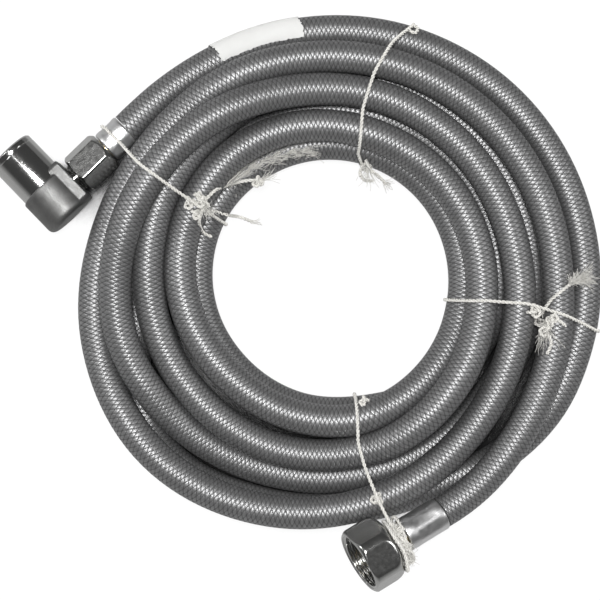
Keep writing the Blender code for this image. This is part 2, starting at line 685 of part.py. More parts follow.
def convex_loop(points):
    """The points' outer loop, as a stretched string would follow it."""
    def half(ordered):
        chain = []
        for p in ordered:
            while len(chain) > 1:
                (ax, ay), (bx, by) = chain[-2], chain[-1]
                if (bx - ax) * (p[1] - ay) - (by - ay) * (p[0] - ax) > 0:
                    break
                chain.pop()
            chain.append(p)
        return chain[:-1]
    ordered = sorted(points)
    return half(ordered) + half(ordered[::-1])


def tie_circles(name, turns, fittings):
    """The circles that a tie goes round: the hose's turns, and a fitting where one lies under it."""
    middle = tie_angle(name, 85 * MM)
    circles = []
    for radius, _ in turns.crossing(middle):
        lap_angle = tie_angle(name, radius)
        nearest = min(turns.crossing(lap_angle), key=lambda strand: abs(strand[0] - radius))
        circles.append((*nearest, HOSE_RADIUS))
    return circles + fittings.get(name, [])


def build_tie(name, turns, fittings):
    grow = CLEARANCE + TWINE_RADIUS
    points = []
    for radius, height, size in tie_circles(name, turns, fittings):
        for i in range(16):
            a = 2 * math.pi * (i + 0.5) / 16
            points.append((radius + (size + grow) * math.cos(a), height + (size + grow) * math.sin(a)))
    loop = convex_loop(points)
    reach = 9 * MM
    path = []
    for (r0, z0), (r1, z1) in zip(loop, loop[1:] + loop[:1]):
        pieces = max(1, round(math.hypot(r1 - r0, z1 - z0) / reach))
        for i in range(pieces):
            t = i / pieces
            r = r0 + (r1 - r0) * t
            z = z0 + (z1 - z0) * t
            path.append(COIL_CENTRE + in_plan(tie_angle(name, r)) * r + Vector((0, 0, z)))
    return build_tube(name, path, TWINE_RADIUS, "twine", 1, cyclic=True)


def label_end(turns, angle, radius, height, size):
    """How far the paper reaches over the hose before it would touch another turn."""
    others = [(r, z) for r, z in turns.crossing(angle) if abs(r - radius) > CLEARANCE or abs(z - height) > CLEARANCE]
    end = LABEL_OVER
    while end > LABEL_UNDER + 90:
        u, z = radius + size * math.cos(math.radians(end)), height + size * math.sin(math.radians(end))
        if all(math.hypot(u - r, z - h) > HOSE_RADIUS + CLEARANCE for r, h in others):
            break
        end -= 2.0
    return end


def build_label(turns):
    """A strip of paper bent round the outer turn, over its top and down its outer side."""
    bm = bmesh.new()
    inner = HOSE_RADIUS + CLEARANCE
    outer = inner + LABEL_THICKNESS
    along = np.linspace(LABEL_FROM, LABEL_TO, 7) + 360 * 7
    rings = []
    for angle in along:
        radius, height = turns.read(angle)
        over = label_end(turns, angle, radius, height, outer)
        ring = []
        for size, order in ((outer, 1), (inner, -1)):
            steps = np.linspace(LABEL_UNDER, over, 13)[::order]
            for bend in np.radians(steps):
                place = COIL_CENTRE + in_plan(angle) * (radius + size * math.cos(bend))
                ring.append(bm.verts.new(place + Vector((0, 0, height + size * math.sin(bend)))))
        rings.append(ring)
    for ring, following in zip(rings, rings[1:]):
        for i in range(len(ring)):
            j = (i + 1) % len(ring)
            bm.faces.new((ring[i], ring[j], following[j], following[i]))
    half = len(rings[0]) // 2
    for ring in (rings[0], rings[-1]):
        for i in range(half - 1):
            bm.faces.new((ring[i], ring[i + 1], ring[-2 - i], ring[-1 - i]))
    return add_object("label", mesh_from(bm, "label"), "paper")


def joint_empty(name, frame, along):
    """An empty on a joint's axis, which carries the pieces that turn about it."""
    empty = bpy.data.objects.new(name, None)
    bpy.context.scene.collection.objects.link(empty)
    empty.matrix_world = frame @ Matrix.Translation((0, 0, along))
    return empty


def circle_under_tie(frame, along, size):
    """A fitting's circle where a tie crosses it: radius and height from the coil's centre, and size."""
    centre = frame @ Vector((0, 0, along)) - COIL_CENTRE
    return (math.hypot(centre.x, centre.y), centre.z, size)


def clear_scene():
    for obj in list(bpy.data.objects):
        bpy.data.objects.remove(obj, do_unlink=True)


def build():
    clear_scene()
    turns = Turns()
    build_coil(turns)
    last = len(turns.angles) - 1
    inlet_lead = turns.lead(0, LEAD_STEPS, -direction(INLET_HEADING, INLET_TILT),
                            in_plan(turns.angles[LEAD_STEPS] + 90))
    elbow_lead = turns.lead(last - LEAD_STEPS, last, in_plan(turns.angles[last - LEAD_STEPS] + 90),
                            direction(ELBOW_HEADING, 0.0))
    build_tube("hose_lead_inlet", inlet_lead, HOSE_RADIUS, "braid", 4)
    build_tube("hose_lead_elbow", elbow_lead, HOSE_RADIUS, "braid", 4)

    inlet = axis_frame(inlet_lead[0], INLET_HEADING, INLET_TILT) @ Matrix.Translation((0, 0, CLEARANCE))
    build_ferrule("inlet_ferrule", INLET_FERRULE_LENGTH, inlet)
    build_tube_end("inlet_tube_end", INLET_FERRULE_LENGTH, inlet)
    build_inlet_stem(inlet)
    build_neck_twine(inlet)
    nut_axis = joint_empty("inlet_nut_axis", inlet, inlet_places()["nut"])
    build_inlet_nut(inlet, nut_axis)
    build_inlet_washer(inlet, nut_axis)

    elbow = axis_frame(elbow_lead[-1], ELBOW_HEADING, 0.0) @ Matrix.Translation((0, 0, CLEARANCE))
    build_ferrule("elbow_ferrule", ELBOW_FERRULE_LENGTH, elbow)
    build_tube_end("elbow_tube_end", ELBOW_FERRULE_LENGTH, elbow)
    build_elbow_stem(elbow)
    small_nut_axis = joint_empty("compression_nut_axis", elbow, elbow_places()["nut"])
    build_compression_nut(elbow, small_nut_axis)
    elbow_axis = joint_empty("elbow_axis", elbow, elbow_places()["centre"])
    build_elbow(elbow, elbow_axis)
    build_cone_washer(elbow, elbow_axis)

    fittings = {
        "tie_left": [circle_under_tie(elbow, 0.45 * ELBOW_FERRULE_LENGTH, FERRULE_RADIUS)],
        "tie_bottom": [circle_under_tie(inlet, inlet_places()["collar"] + INLET_COLLAR_LENGTH / 2,
                                        neck_turns_radius())],
    }
    for name in TIE_LINES:
        build_tie(name, turns, fittings)
    build_label(turns)


build()
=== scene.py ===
"""Looks of a coiled dishwasher inlet hose: wire braid, crimped ferrules, a coupling nut, a compression
elbow and four twine ties, seen straight from above on a pale floor. Metres, +Z up.
"""
import json
import math
import random

import bmesh
import bpy
import numpy as np
from mathutils import Matrix, Vector

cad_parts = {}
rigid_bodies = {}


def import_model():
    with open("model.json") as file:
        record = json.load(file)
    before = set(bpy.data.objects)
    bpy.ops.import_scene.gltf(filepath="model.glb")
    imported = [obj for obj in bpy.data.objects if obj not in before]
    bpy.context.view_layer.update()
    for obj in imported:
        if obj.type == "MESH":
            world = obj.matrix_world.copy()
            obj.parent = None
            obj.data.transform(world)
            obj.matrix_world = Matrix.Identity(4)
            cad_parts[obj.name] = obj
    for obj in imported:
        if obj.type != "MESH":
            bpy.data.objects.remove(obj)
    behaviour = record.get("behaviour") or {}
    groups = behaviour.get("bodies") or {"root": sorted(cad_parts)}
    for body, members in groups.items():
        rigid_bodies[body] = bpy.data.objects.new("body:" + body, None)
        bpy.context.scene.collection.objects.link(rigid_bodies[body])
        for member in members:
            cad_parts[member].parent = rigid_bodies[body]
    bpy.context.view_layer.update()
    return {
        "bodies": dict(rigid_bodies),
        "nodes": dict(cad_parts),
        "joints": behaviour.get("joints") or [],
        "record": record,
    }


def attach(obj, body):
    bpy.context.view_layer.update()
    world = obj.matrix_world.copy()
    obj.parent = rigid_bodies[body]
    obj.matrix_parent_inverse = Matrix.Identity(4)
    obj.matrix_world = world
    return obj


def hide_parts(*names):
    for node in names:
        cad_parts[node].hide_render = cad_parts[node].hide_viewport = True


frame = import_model()

MM = 0.001

# Hose
HOSE_DIAMETER = 0.0145
HOSE_RADIUS = HOSE_DIAMETER / 2
COIL_CENTRE = Vector((0.000163, -0.011629, 0.0))
HOSE_SIDES = 28
TURN_STEP = 5.0
LINE_STEP = 2.5
STRAIGHT_END = 0.0012
CLEARANCE = 0.0003
INLET_HEADING, INLET_TILT = 165.5, 15.0
ELBOW_HEADING = 180.0

# Settling: the rounds, the share of them after which they are late, and what a round does to a turn:
# how much of its unevenness in height and of its drift it loses, and how far it sinks
SETTLE_ROUNDS = 600
LATE_FROM = 0.8
EARLY_SHARES = (0.2, 0.15, 0.03 * MM)
LATE_SHARES = (0.02, 0.02, 0.0)
SMOOTHING = 0.05
SIDEWAYS = 0.3

# The route from the inlet ferrule to the elbow ferrule: angle round the coil's centre in degrees,
# radius in metres, first height in hose radii
TURN_STATIONS = [
    (250.4, .1157, 2.90), (256, .1145, 2.85), (270, .1102, 2.98), (285, .1060, 3.00), (300, .1032, 2.70),
    (315, .1001, 2.60), (330, .0992, 2.60), (360, .0983, 2.60), (390, .0981, 2.60), (420, .0986, 2.60),
    (450, .0996, 2.60), (480, .1033, 2.40), (510, .1102, 2.60), (540, .1131, 3.00), (570, .1084, 3.00),
    (600, .1002, 3.00), (630, .0911, 2.80), (660, .0848, 2.60), (690, .0812, 2.60), (720, .0812, 2.60),
    (750, .0828, 2.60), (780, .0848, 2.80), (810, .0896, 3.20), (840, .0947, 3.00), (870, .0987, 2.80),
    (900, .0954, 2.40), (930, .0920, 1.60), (960, .0898, 1.00), (990, .0878, 1.00), (1020, .0891, 1.00),
    (1050, .0904, 1.00), (1080, .0909, 1.00), (1110, .0914, 1.00), (1140, .0891, 1.00), (1170, .0844, 1.80),
    (1200, .0826, 2.80), (1230, .0826, 2.80), (1260, .0819, 2.60), (1290, .0812, 2.60), (1320, .0776, 2.60),
    (1350, .0720, 2.60), (1380, .0673, 2.60), (1410, .0650, 2.60), (1440, .0646, 2.60), (1470, .0657, 2.60),
    (1500, .0691, 2.60), (1530, .0714, 2.60), (1560, .0720, 2.60), (1590, .0677, 2.80), (1620, .0646, 2.90),
    (1650, .0644, 2.90), (1680, .0643, 2.90), (1710, .0616, 2.80), (1740, .0597, 1.80), (1770, .0589, 1.00),
    (1800, .0592, 1.00), (1830, .0599, 1.00), (1860, .0610, 1.00), (1890, .0622, 1.00), (1920, .0626, 1.00),
    (1950, .0619, 1.00), (1980, .0610, 1.00), (2010, .0614, 1.00), (2040, .0623, 1.00), (2070, .0684, 1.00),
    (2100, .0729, 1.00), (2130, .0747, 1.00), (2160, .0754, 1.00), (2190, .0756, 1.00), (2220, .0761, 1.00),
    (2250, .0767, 1.00), (2280, .0797, 1.00), (2310, .0923, 1.00), (2340, .1098, 1.00), (2370, .1071, 1.00),
    (2400, .1040, 1.00), (2415, .1053, 1.00), (2430, .1112, 1.00), (2445, .1145, 1.00), (2460, .1144, 1.00),
    (2490, .1134, 1.00), (2520, .1128, 1.00), (2550, .1118, 1.00), (2580, .1114, 1.00), (2600, .1117, 1.25),
    (2610, .1128, 1.50), (2620.4, .1150, 1.738),
]

# Twine: each tie crosses the coil on a line of (radius in metres, angle in degrees)
TWINE_RADIUS = 0.00065
TIE_LINES = {
    "tie_left": [(.054, 110), (.074, 108), (.099, 106), (.112, 104), (.122, 103)],
    "tie_top": [(.051, 31), (.056, 35), (.075, 36.5), (.092, 35), (.108, 32), (.119, 28.5)],
    "tie_right": [(.051, 304.5), (.068, 307), (.086, 308), (.104, 306.5), (.120, 304.5)],
    "tie_bottom": [(.055, 236), (.074, 234), (.085, 235), (.100, 237), (.121, 240)],
}
TIE_LIFT = 2 * (TWINE_RADIUS + CLEARANCE)
TIE_LIFT_SPREAD = 10.0
LAPS_COUNTED_AT = 0.085
NECK_RADIUS = 0.0081

# Fittings, in millimetres along the hose's end and out from its axis
INLET_FERRULE = 20.3
ELBOW_FERRULE = 12.3
FERRULE_RADIUS = 7.65
FERRULE_CRIMP = 0.34
NECK_MIDDLE = 23.8
NUT_BACK = 27.3
SHOULDER_DEPTH = 6.0
SHOULDER_FOOT = 10.6
SHOULDER_RISE = 5.0
OFF_SHOULDER = 1.25
ELBOW_CENTRE = 44.8
SQUARENESS = 30

# Label: its ends in degrees round the coil, on the last lap; its lower edge and its width in degrees
# round the hose; its outer and inner face over the hose
LABEL_ANGLES = (53.6, 74.0)
LABEL_LAP = 2520
LABEL_EDGE = -59
LABEL_WRAP = 167
LABEL_FACES = (0.00030, 0.00006)

# Camera: the photograph's middle and its upward direction on the floor
PHOTO_WIDTH = 0.270
PHOTO_PIXELS = 600
PHOTO_UP = 46.0
LOOK_AT = COIL_CENTRE + Vector((-0.0182, 0.0032, 0.015))
LENS = 120.0
SENSOR = 36.0
CAMERA_DISTANCE = PHOTO_WIDTH * LENS / SENSOR

# Lamps: place to the photograph's right, to its top and above its middle; watts; size
LAMPS = {
    "overhead": ((-0.05, 0.12, 1.5), 22.5, 0.40),
    "right_side": ((1.3, 0.3, 0.9), 5.0, 0.45),
    "left_side": ((-1.2, 0.5, 0.9), 5.0, 0.45),
    "strip": ((-0.314, 0.162, 1.5), 0.6, 0.55),
}
STRIP_WIDTH = 0.03
STRIP_RUN = (-0.7, 0.7)

# Room: its brightness at two heights, its fill light, and its dark side on the photograph
ROOM_HORIZON = (0.05, 0.47)
ROOM_CEILING = (0.40, 0.08)
ROOM_FILL = 0.5
DARK_SIDE = (0.75, 0.65)

# Floor: open floor glows, and floor that is shut in closer than the reach of a slit gets painted shade
FLOOR_REACH = 3.0
FLOOR_HEIGHT = -0.0004
FLOOR_WHITE = (0.93, 0.93, 0.93)
FLOOR_GLOW = 0.88
SLIT_REACH = 0.025
SLIT_SAMPLES = 24
SLIT_SHADE_RAMP = ((0.27, 0.0), (0.36, 1.0))

# Looks: the wires' share of the braid's relief, its depth, the greys of its strands, of their blotches and of
# the painted shade in the gaps, and its roughness from strand to gap; how dark the patches on turned metal
# are
WIRE_SHARE = 0.06
BRAID_DEPTH = 0.00015
STRAND_GREYS = ((0.19, 0.19, 0.192), (0.25, 0.25, 0.252))
BLOTCH_GREYS = ((0.17, 0.17, 0.17), (0.27, 0.27, 0.272))
GAP_SHADE_GREY = (0.09, 0.09, 0.09)
BRAID_ROUGHNESS = ((0.0, 0.44), (1.0, 0.65))
DARK_PATCH = 0.75


# Hose route

def in_plan(heading):
    a = math.radians(heading)
    return Vector((math.cos(a), math.sin(a), 0.0))


def direction(heading, tilt):
    return in_plan(heading) * math.cos(math.radians(tilt)) + Vector((0, 0, math.sin(math.radians(tilt))))


def end_slopes(angle, radius, heading, tilt):
    """How radius and height change per degree at a hose end that points along heading and tilt."""
    along = direction(heading, tilt)
    per_degree = radius * math.radians(1.0) / along.dot(in_plan(angle + 90))
    return along.dot(in_plan(angle)) * per_degree, along.z * per_degree


def on_curve(at, values, slope, angles):
    """Values read on the smooth curve through the given ones, with these slopes."""
    k = np.clip(np.searchsorted(at, angles, side="right") - 1, 0, len(at) - 2)
    span = at[k + 1] - at[k]
    t = (angles - at[k]) / span
    return ((2*t**3 - 3*t**2 + 1) * values[k] + (t**3 - 2*t**2 + t) * span * slope[k]
            + (3*t**2 - 2*t**3) * values[k + 1] + (t**3 - t**2) * span * slope[k + 1])


def planned_turns(angles):
    at = np.array([s[0] for s in TURN_STATIONS], float)
    radius = np.array([s[1] for s in TURN_STATIONS])
    height = np.array([s[2] for s in TURN_STATIONS]) * HOSE_RADIUS
    first = end_slopes(at[0], radius[0], INLET_HEADING, INLET_TILT)
    last = end_slopes(at[-1], radius[-1], ELBOW_HEADING, 0.0)
    curves = []
    for column, values in enumerate((radius, height)):
        slope = np.gradient(values, at)
        slope[0], slope[-1] = first[column], last[column]
        curves.append(on_curve(at, values, slope, angles))
    return curves


def tie_angle(name, radius):
    line = TIE_LINES[name]
    return float(np.interp(radius, [p[0] for p in line], [p[1] for p in line]))


def floor_under(angles):
    """Lowest height of the hose's centre: it lies on the floor, and on the twine where a tie passes."""
    lift = np.zeros(len(angles))
    middle = sum(r for _, r, _ in TURN_STATIONS) / len(TURN_STATIONS)
    for name in TIE_LINES:
        away = (angles - tie_angle(name, middle) + 180) % 360 - 180
        lift = np.maximum(lift, TIE_LIFT * np.exp(-(away / TIE_LIFT_SPREAD)**4))
    return HOSE_RADIUS + lift


def settled_turns():
    """Lets the wound hose settle: turns that meet push each other apart and all of them sink."""
    first, last = TURN_STATIONS[0][0], TURN_STATIONS[-1][0]
    count = round((last - first) / TURN_STEP) + 1
    angles = np.linspace(first, last, count)
    planned, height = planned_turns(angles)
    radius = planned.copy()
    floor = floor_under(angles)
    ends = height[:2].copy(), height[-2:].copy()
    turn = round(360 / TURN_STEP)
    for step in range(SETTLE_ROUNDS):
        late = step > LATE_FROM * SETTLE_ROUNDS
        level, back, sink = LATE_SHARES if late else EARLY_SHARES
        height[1:-1] += level * (height[:-2] + height[2:] - 2 * height[1:-1])
        height[1:-1] -= sink
        drift = radius - planned
        radius[1:-1] += SMOOTHING * (drift[:-2] + drift[2:] - 2 * drift[1:-1])
        radius -= back * drift
        for apart in range(turn, count, turn):
            across = radius[apart:] - radius[:-apart]
            up = height[apart:] - height[:-apart]
            distance = np.maximum(np.hypot(across, up), 1e-6)
            push = 0.5 * np.maximum(HOSE_DIAMETER - distance, 0) / distance
            radius[apart:] += SIDEWAYS * push * across
            radius[:-apart] -= SIDEWAYS * push * across
            height[apart:] += push * up
            height[:-apart] -= push * up
        height = np.maximum(height, floor)
        height[:2], height[-2:] = ends
        radius[:2], radius[-2:] = planned[:2], planned[-2:]
    return angles, radius, height


TURN_ANGLES, TURN_RADII, TURN_HEIGHTS = settled_turns()


def hose_at(angle):
    """Radius and height of the hose's centre at an angle counted on from the inlet ferrule."""
    return tuple(float(np.interp(angle, TURN_ANGLES, values)) for values in (TURN_RADII, TURN_HEIGHTS))


def polar(angle, radius, height):
    return COIL_CENTRE + in_plan(angle) * radius + Vector((0, 0, height))


def hose_line():
    """Points along the hose's centre, close enough for a smooth tube."""
    angles = np.arange(TURN_ANGLES[0], TURN_ANGLES[-1] + 1e-6, LINE_STEP)
    angles = np.append(angles[angles < TURN_ANGLES[-1] - 0.5 * LINE_STEP], TURN_ANGLES[-1])
    radii, heights = (on_curve(TURN_ANGLES, values, np.gradient(values, TURN_ANGLES), angles)
                      for values in (TURN_RADII, TURN_HEIGHTS))
    points = [polar(a, r, h) for a, r, h in zip(angles, radii, heights)]
    points.insert(1, points[0] - direction(INLET_HEADING, INLET_TILT) * STRAIGHT_END)
    points.insert(-1, points[-1] - direction(ELBOW_HEADING, 0) * STRAIGHT_END)
    return points


def strands_at(angle):
    """Radius and height of every turn that passes this angle of one circle."""
    found = []
    lap = angle % 360
    while lap <= TURN_ANGLES[-1]:
        if lap >= TURN_ANGLES[0]:
            found.append(hose_at(lap))
        lap += 360
    return found


def top_of_coil(angle, radius):
    """Height at which twine lies on the turns."""
    reach = HOSE_RADIUS + TWINE_RADIUS
    tops = [z + math.sqrt(reach**2 - (radius - r)**2)
            for r, z in strands_at(angle) if abs(radius - r) < reach]
    return max(tops, default=TWINE_RADIUS)


def axis_frame(start, heading, tilt):
    """A frame whose +Z leaves the hose along heading and tilt, with its +X as near up as it can be."""
    along = direction(heading, tilt)
    up = (Vector((0, 0, 1)) - along * along.z).normalized()
    made = Matrix((up, along.cross(up), along)).transposed().to_4x4()
    made.translation = start + along * CLEARANCE
    return made


HOSE_POINTS = hose_line()
INLET = axis_frame(HOSE_POINTS[0], INLET_HEADING, INLET_TILT)
ELBOW = axis_frame(HOSE_POINTS[-1], ELBOW_HEADING, 0.0)


# Camera and lights

def placed(name, data):
    """A new object in the scene."""
    made = bpy.data.objects.new(name, data)
    bpy.context.scene.collection.objects.link(made)
    return made


def set_camera():
    data = bpy.data.cameras.new("photo_camera")
    data.lens = LENS
    data.sensor_width = SENSOR
    data.clip_start = 0.01
    data.clip_end = 20.0
    camera = placed("photo_camera", data)
    camera.location = LOOK_AT + Vector((0, 0, CAMERA_DISTANCE))
    camera.rotation_euler = (0, 0, math.radians(PHOTO_UP - 90))
    bpy.context.scene.camera = camera


def on_photo(x, y):
    """A floor direction given on the photograph: x to its right, y to its top."""
    return in_plan(PHOTO_UP - 90) * x + in_plan(PHOTO_UP) * y


def softbox(name, place, power, size):
    data = bpy.data.lights.new(name, "AREA")
    data.shape = "DISK"
    data.size = size
    data.energy = power
    lamp = placed(name, data)
    right, up, above = place
    lamp.location = LOOK_AT + on_photo(right, up) + Vector((0, 0, above))
    lamp.rotation_euler = (lamp.location - LOOK_AT).to_track_quat("Z", "Y").to_euler()
    return lamp


def light_scene():
    lamps = {name: softbox(name, *values) for name, values in LAMPS.items()}
    strip = lamps["strip"]
    strip.data.shape = "RECTANGLE"
    strip.data.size_y = STRIP_WIDTH
    along = on_photo(*STRIP_RUN)
    strip.rotation_euler = (0, 0, math.atan2(along.y, along.x))


# Node helpers

def feed(tree, target, inputs):
    """Gives a node its inputs, by name or number: values are set and other nodes' sockets are linked."""
    for key, value in inputs.items():
        if isinstance(value, bpy.types.NodeSocket):
            tree.links.new(value, target.inputs[key])
        else:
            target.inputs[key].default_value = value


def node(tree, kind, inputs=None, **settings):
    """Adds a node with its settings and inputs."""
    made = tree.nodes.new(kind)
    for key, value in settings.items():
        setattr(made, key, value)
    feed(tree, made, inputs or {})
    return made


def calc(tree, operation, *values):
    """A Math node's result."""
    return node(tree, "ShaderNodeMath", dict(enumerate(values)), operation=operation).outputs[0]


def ramp(tree, value, *stops):
    """A colour ramp's grey result, with stops of (place, grey)."""
    made = node(tree, "ShaderNodeValToRGB", {0: value})
    for i, (place, grey) in enumerate(stops):
        stop = made.color_ramp.elements[i] if i < 2 else made.color_ramp.elements.new(place)
        stop.position = place
        stop.color = (grey, grey, grey, 1)
    return made.outputs[0]


def between(tree, factor, low, high):
    """A colour mixed from low to high, each given as a socket or as three values."""
    low, high = (c if isinstance(c, bpy.types.NodeSocket) else (*c, 1.0) for c in (low, high))
    return node(tree, "ShaderNodeMix", {0: factor, 6: low, 7: high}, data_type="RGBA").outputs[2]


def value_between(tree, factor, low, high):
    """A value mixed from low to high."""
    return node(tree, "ShaderNodeMix", {0: factor, 2: low, 3: high}).outputs[0]


def vector_math(tree, operation, inputs):
    """A Vector Math node's result."""
    return node(tree, "ShaderNodeVectorMath", inputs, operation=operation).outputs[0]


def start_tree(kind, name, inputs, outputs):
    """An empty node group with its two end nodes, and its inputs' identifiers by name. An input is a
    name, a kind of socket and, where it has one, a value.
    """
    group = bpy.data.node_groups.new(name, kind)
    identifiers = {}
    for label, socket, *value in inputs:
        made = group.interface.new_socket(label, in_out="INPUT", socket_type="NodeSocket" + socket)
        identifiers[label] = made.identifier
        if value:
            made.default_value = value[0]
    for label, socket in outputs:
        group.interface.new_socket(label, in_out="OUTPUT", socket_type="NodeSocket" + socket)
    return group, group.nodes.new("NodeGroupInput"), group.nodes.new("NodeGroupOutput"), identifiers


def use_group(tree, group, inputs):
    """Places a group in a material, with its own values, and gives its outputs."""
    return node(tree, "ShaderNodeGroup", inputs, node_tree=group).outputs


def noise(tree, place, scale, detail, **inputs):
    inputs = {"Vector": place, "Scale": scale, "Detail": detail, **inputs}
    return node(tree, "ShaderNodeTexNoise", inputs).outputs[0]


# Shared effects

def braid_weave_group():
    """Two families of flat wire strands that cross over and under. Lay is (cosine, sine, length)."""
    group, start, end, _ = start_tree(
        "ShaderNodeTree", "braid_weave",
        [("Lay", "Vector"), ("Strand spacing", "Float", 0.0021), ("Strands round", "Float", 9.0),
         ("Wires", "Float", 6.0)],
        [("Height", "Float"), ("Gap", "Float"), ("Strand tone", "Float")])
    lay = node(group, "ShaderNodeSeparateXYZ", {0: start.outputs["Lay"]}).outputs
    turn = calc(group, "DIVIDE", calc(group, "ARCTAN2", lay[1], lay[0]), 2 * math.pi)
    across = calc(group, "MULTIPLY", turn, start.outputs["Strands round"])
    along = calc(group, "DIVIDE", lay[2], start.outputs["Strand spacing"])
    left, right = calc(group, "ADD", along, across), calc(group, "SUBTRACT", along, across)
    left_cell, right_cell = calc(group, "FLOOR", left), calc(group, "FLOOR", right)
    left_part, right_part = calc(group, "FRACT", left), calc(group, "FRACT", right)
    over = calc(group, "FLOORED_MODULO", calc(group, "ADD", left_cell, right_cell), 2.0)
    width = value_between(group, over, left_part, right_part)
    length = value_between(group, over, right_part, left_part)
    cell = value_between(group, over, left_cell, right_cell)
    wire = calc(group, "FRACT", calc(group, "MULTIPLY", width, start.outputs["Wires"]))
    crown, arch, wire_crown = (calc(group, "SINE", calc(group, "MULTIPLY", part, math.pi))
                               for part in (width, length, wire))
    strand = calc(group, "POWER", calc(group, "MULTIPLY", crown, arch), 0.6)
    tone = node(group, "ShaderNodeTexWhiteNoise", {"W": cell}, noise_dimensions="1D").outputs["Value"]
    feed(group, end, {
        "Height": calc(group, "ADD", calc(group, "MULTIPLY", strand, 1.0 - WIRE_SHARE),
                       calc(group, "MULTIPLY", wire_crown, WIRE_SHARE)),
        "Gap": ramp(group, strand, (0.15, 1.0), (0.55, 0.0)), "Strand tone": tone})
    return group


def turning_marks_group():
    """Fine rings left by a lathe, and the small uneven patches between them. UV is (round, along)."""
    group, start, end, _ = start_tree(
        "ShaderNodeTree", "turning_marks",
        [("UV", "Vector"), ("Ring spacing", "Float", 0.00025), ("Unevenness", "Float", 0.5)],
        [("Height", "Float"), ("Patches", "Float")])
    place = start.outputs["UV"]
    uv = node(group, "ShaderNodeSeparateXYZ", {0: place}).outputs
    stretched = node(group, "ShaderNodeCombineXYZ", {
        0: calc(group, "MULTIPLY", uv[0], 60.0),
        1: calc(group, "DIVIDE", uv[1], start.outputs["Ring spacing"])}).outputs[0]
    patches = calc(group, "MULTIPLY", noise(group, place, 450.0, 3.0), start.outputs["Unevenness"])
    feed(group, end, {"Height": noise(group, stretched, 1.0, 2.0), "Patches": patches})
    return group


def grain_group():
    """Fine even grain with larger soft blotches, on the piece's own coordinates."""
    group, start, end, _ = start_tree(
        "ShaderNodeTree", "grain",
        [("Vector", "Vector"), ("Grain size", "Float", 0.0004), ("Blotch size", "Float", 0.006)],
        [("Grain", "Float"), ("Blotches", "Float")])
    place = start.outputs["Vector"]
    fine, coarse = (calc(group, "DIVIDE", 1.0, start.outputs[size]) for size in ("Grain size", "Blotch size"))
    feed(group, end, {"Grain": noise(group, place, fine, 4.0, Roughness=0.6),
                      "Blotches": noise(group, place, coarse, 2.0)})
    return group


def studio_room_group():
    """How bright the room is in a direction: a white horizon, a dim ceiling and one dark side."""
    group, start, end, _ = start_tree(
        "ShaderNodeTree", "studio_room",
        [("Direction", "Vector"), ("Dark side", "Vector"), ("Darkness", "Float", 0.9)], [("Light", "Float")])
    heading = start.outputs["Direction"]
    side = node(group, "ShaderNodeVectorMath", {0: heading, 1: start.outputs["Dark side"]},
                operation="DOT_PRODUCT").outputs["Value"]
    rise = node(group, "ShaderNodeSeparateXYZ", {0: heading}).outputs[2]
    away = calc(group, "MULTIPLY", calc(group, "MAXIMUM", side, 0.0), start.outputs["Darkness"])
    feed(group, end, {"Light": ramp(group, calc(group, "ADD", rise, away), ROOM_HORIZON, ROOM_CEILING)})
    return group


BRAID_WEAVE = braid_weave_group()
TURNING_MARKS = turning_marks_group()
GRAIN = grain_group()
STUDIO_ROOM = studio_room_group()


# Materials

def start_material(name, metallic=0.0, roughness=0.5):
    made = bpy.data.materials.new(name)
    made.use_nodes = True
    tree = made.node_tree
    shader = tree.nodes["Principled BSDF"]
    feed(tree, shader, {"Metallic": metallic, "Roughness": roughness})
    return made, tree, shader


def bump(tree, height, distance):
    """The normal of a surface with this relief."""
    return node(tree, "ShaderNodeBump", {"Height": height, "Distance": distance, "Strength": 1.0}).outputs[0]


def braided_steel():
    made, tree, shader = start_material("braided_steel", 0.75)
    lay = node(tree, "ShaderNodeAttribute", attribute_name="braid_lay").outputs["Vector"]
    weave = use_group(tree, BRAID_WEAVE, {"Lay": lay})
    place = node(tree, "ShaderNodeTexCoord").outputs["Object"]
    grain = use_group(tree, GRAIN, {"Vector": place, "Grain size": 0.0009, "Blotch size": 0.012})
    strand = between(tree, weave["Strand tone"], *STRAND_GREYS)
    uneven = between(tree, grain["Blotches"], *BLOTCH_GREYS)
    steel = between(tree, 0.4, strand, uneven)
    # Painted shade: the gaps between the strands get a dark grey
    feed(tree, shader, {"Base Color": between(tree, weave["Gap"], steel, GAP_SHADE_GREY),
                        "Roughness": ramp(tree, weave["Gap"], *BRAID_ROUGHNESS),
                        "Normal": bump(tree, weave["Height"], BRAID_DEPTH)})
    return made


def turned_metal(name, colour, roughness, ring_depth=0.00002, unevenness=0.5):
    made, tree, shader = start_material(name, 1.0, roughness)
    uv = node(tree, "ShaderNodeUVMap", uv_map="UVMap").outputs[0]
    marks = use_group(tree, TURNING_MARKS, {"UV": uv, "Unevenness": unevenness})
    darker = tuple(c * DARK_PATCH for c in colour)
    low, high = max(roughness - 0.08, 0.05), roughness + 0.14
    feed(tree, shader, {"Base Color": between(tree, marks["Patches"], colour, darker),
                        "Roughness": ramp(tree, marks["Patches"], (0.1, low), (0.5, high)),
                        "Normal": bump(tree, marks["Height"], ring_depth)})
    return made


def grained(name, colour, second, roughness, metallic, grain_size, grain_depth, blotch_size=0.006):
    made, tree, shader = start_material(name, metallic, roughness)
    place = node(tree, "ShaderNodeTexCoord").outputs["Object"]
    marks = use_group(tree, GRAIN, {"Vector": place, "Grain size": grain_size, "Blotch size": blotch_size})
    low, high = max(roughness - 0.08, 0.05), min(roughness + 0.1, 1.0)
    feed(tree, shader, {"Base Color": between(tree, marks["Blotches"], colour, second),
                        "Roughness": ramp(tree, marks["Grain"], (0.35, low), (0.65, high)),
                        "Normal": bump(tree, marks["Grain"], grain_depth)})
    return made


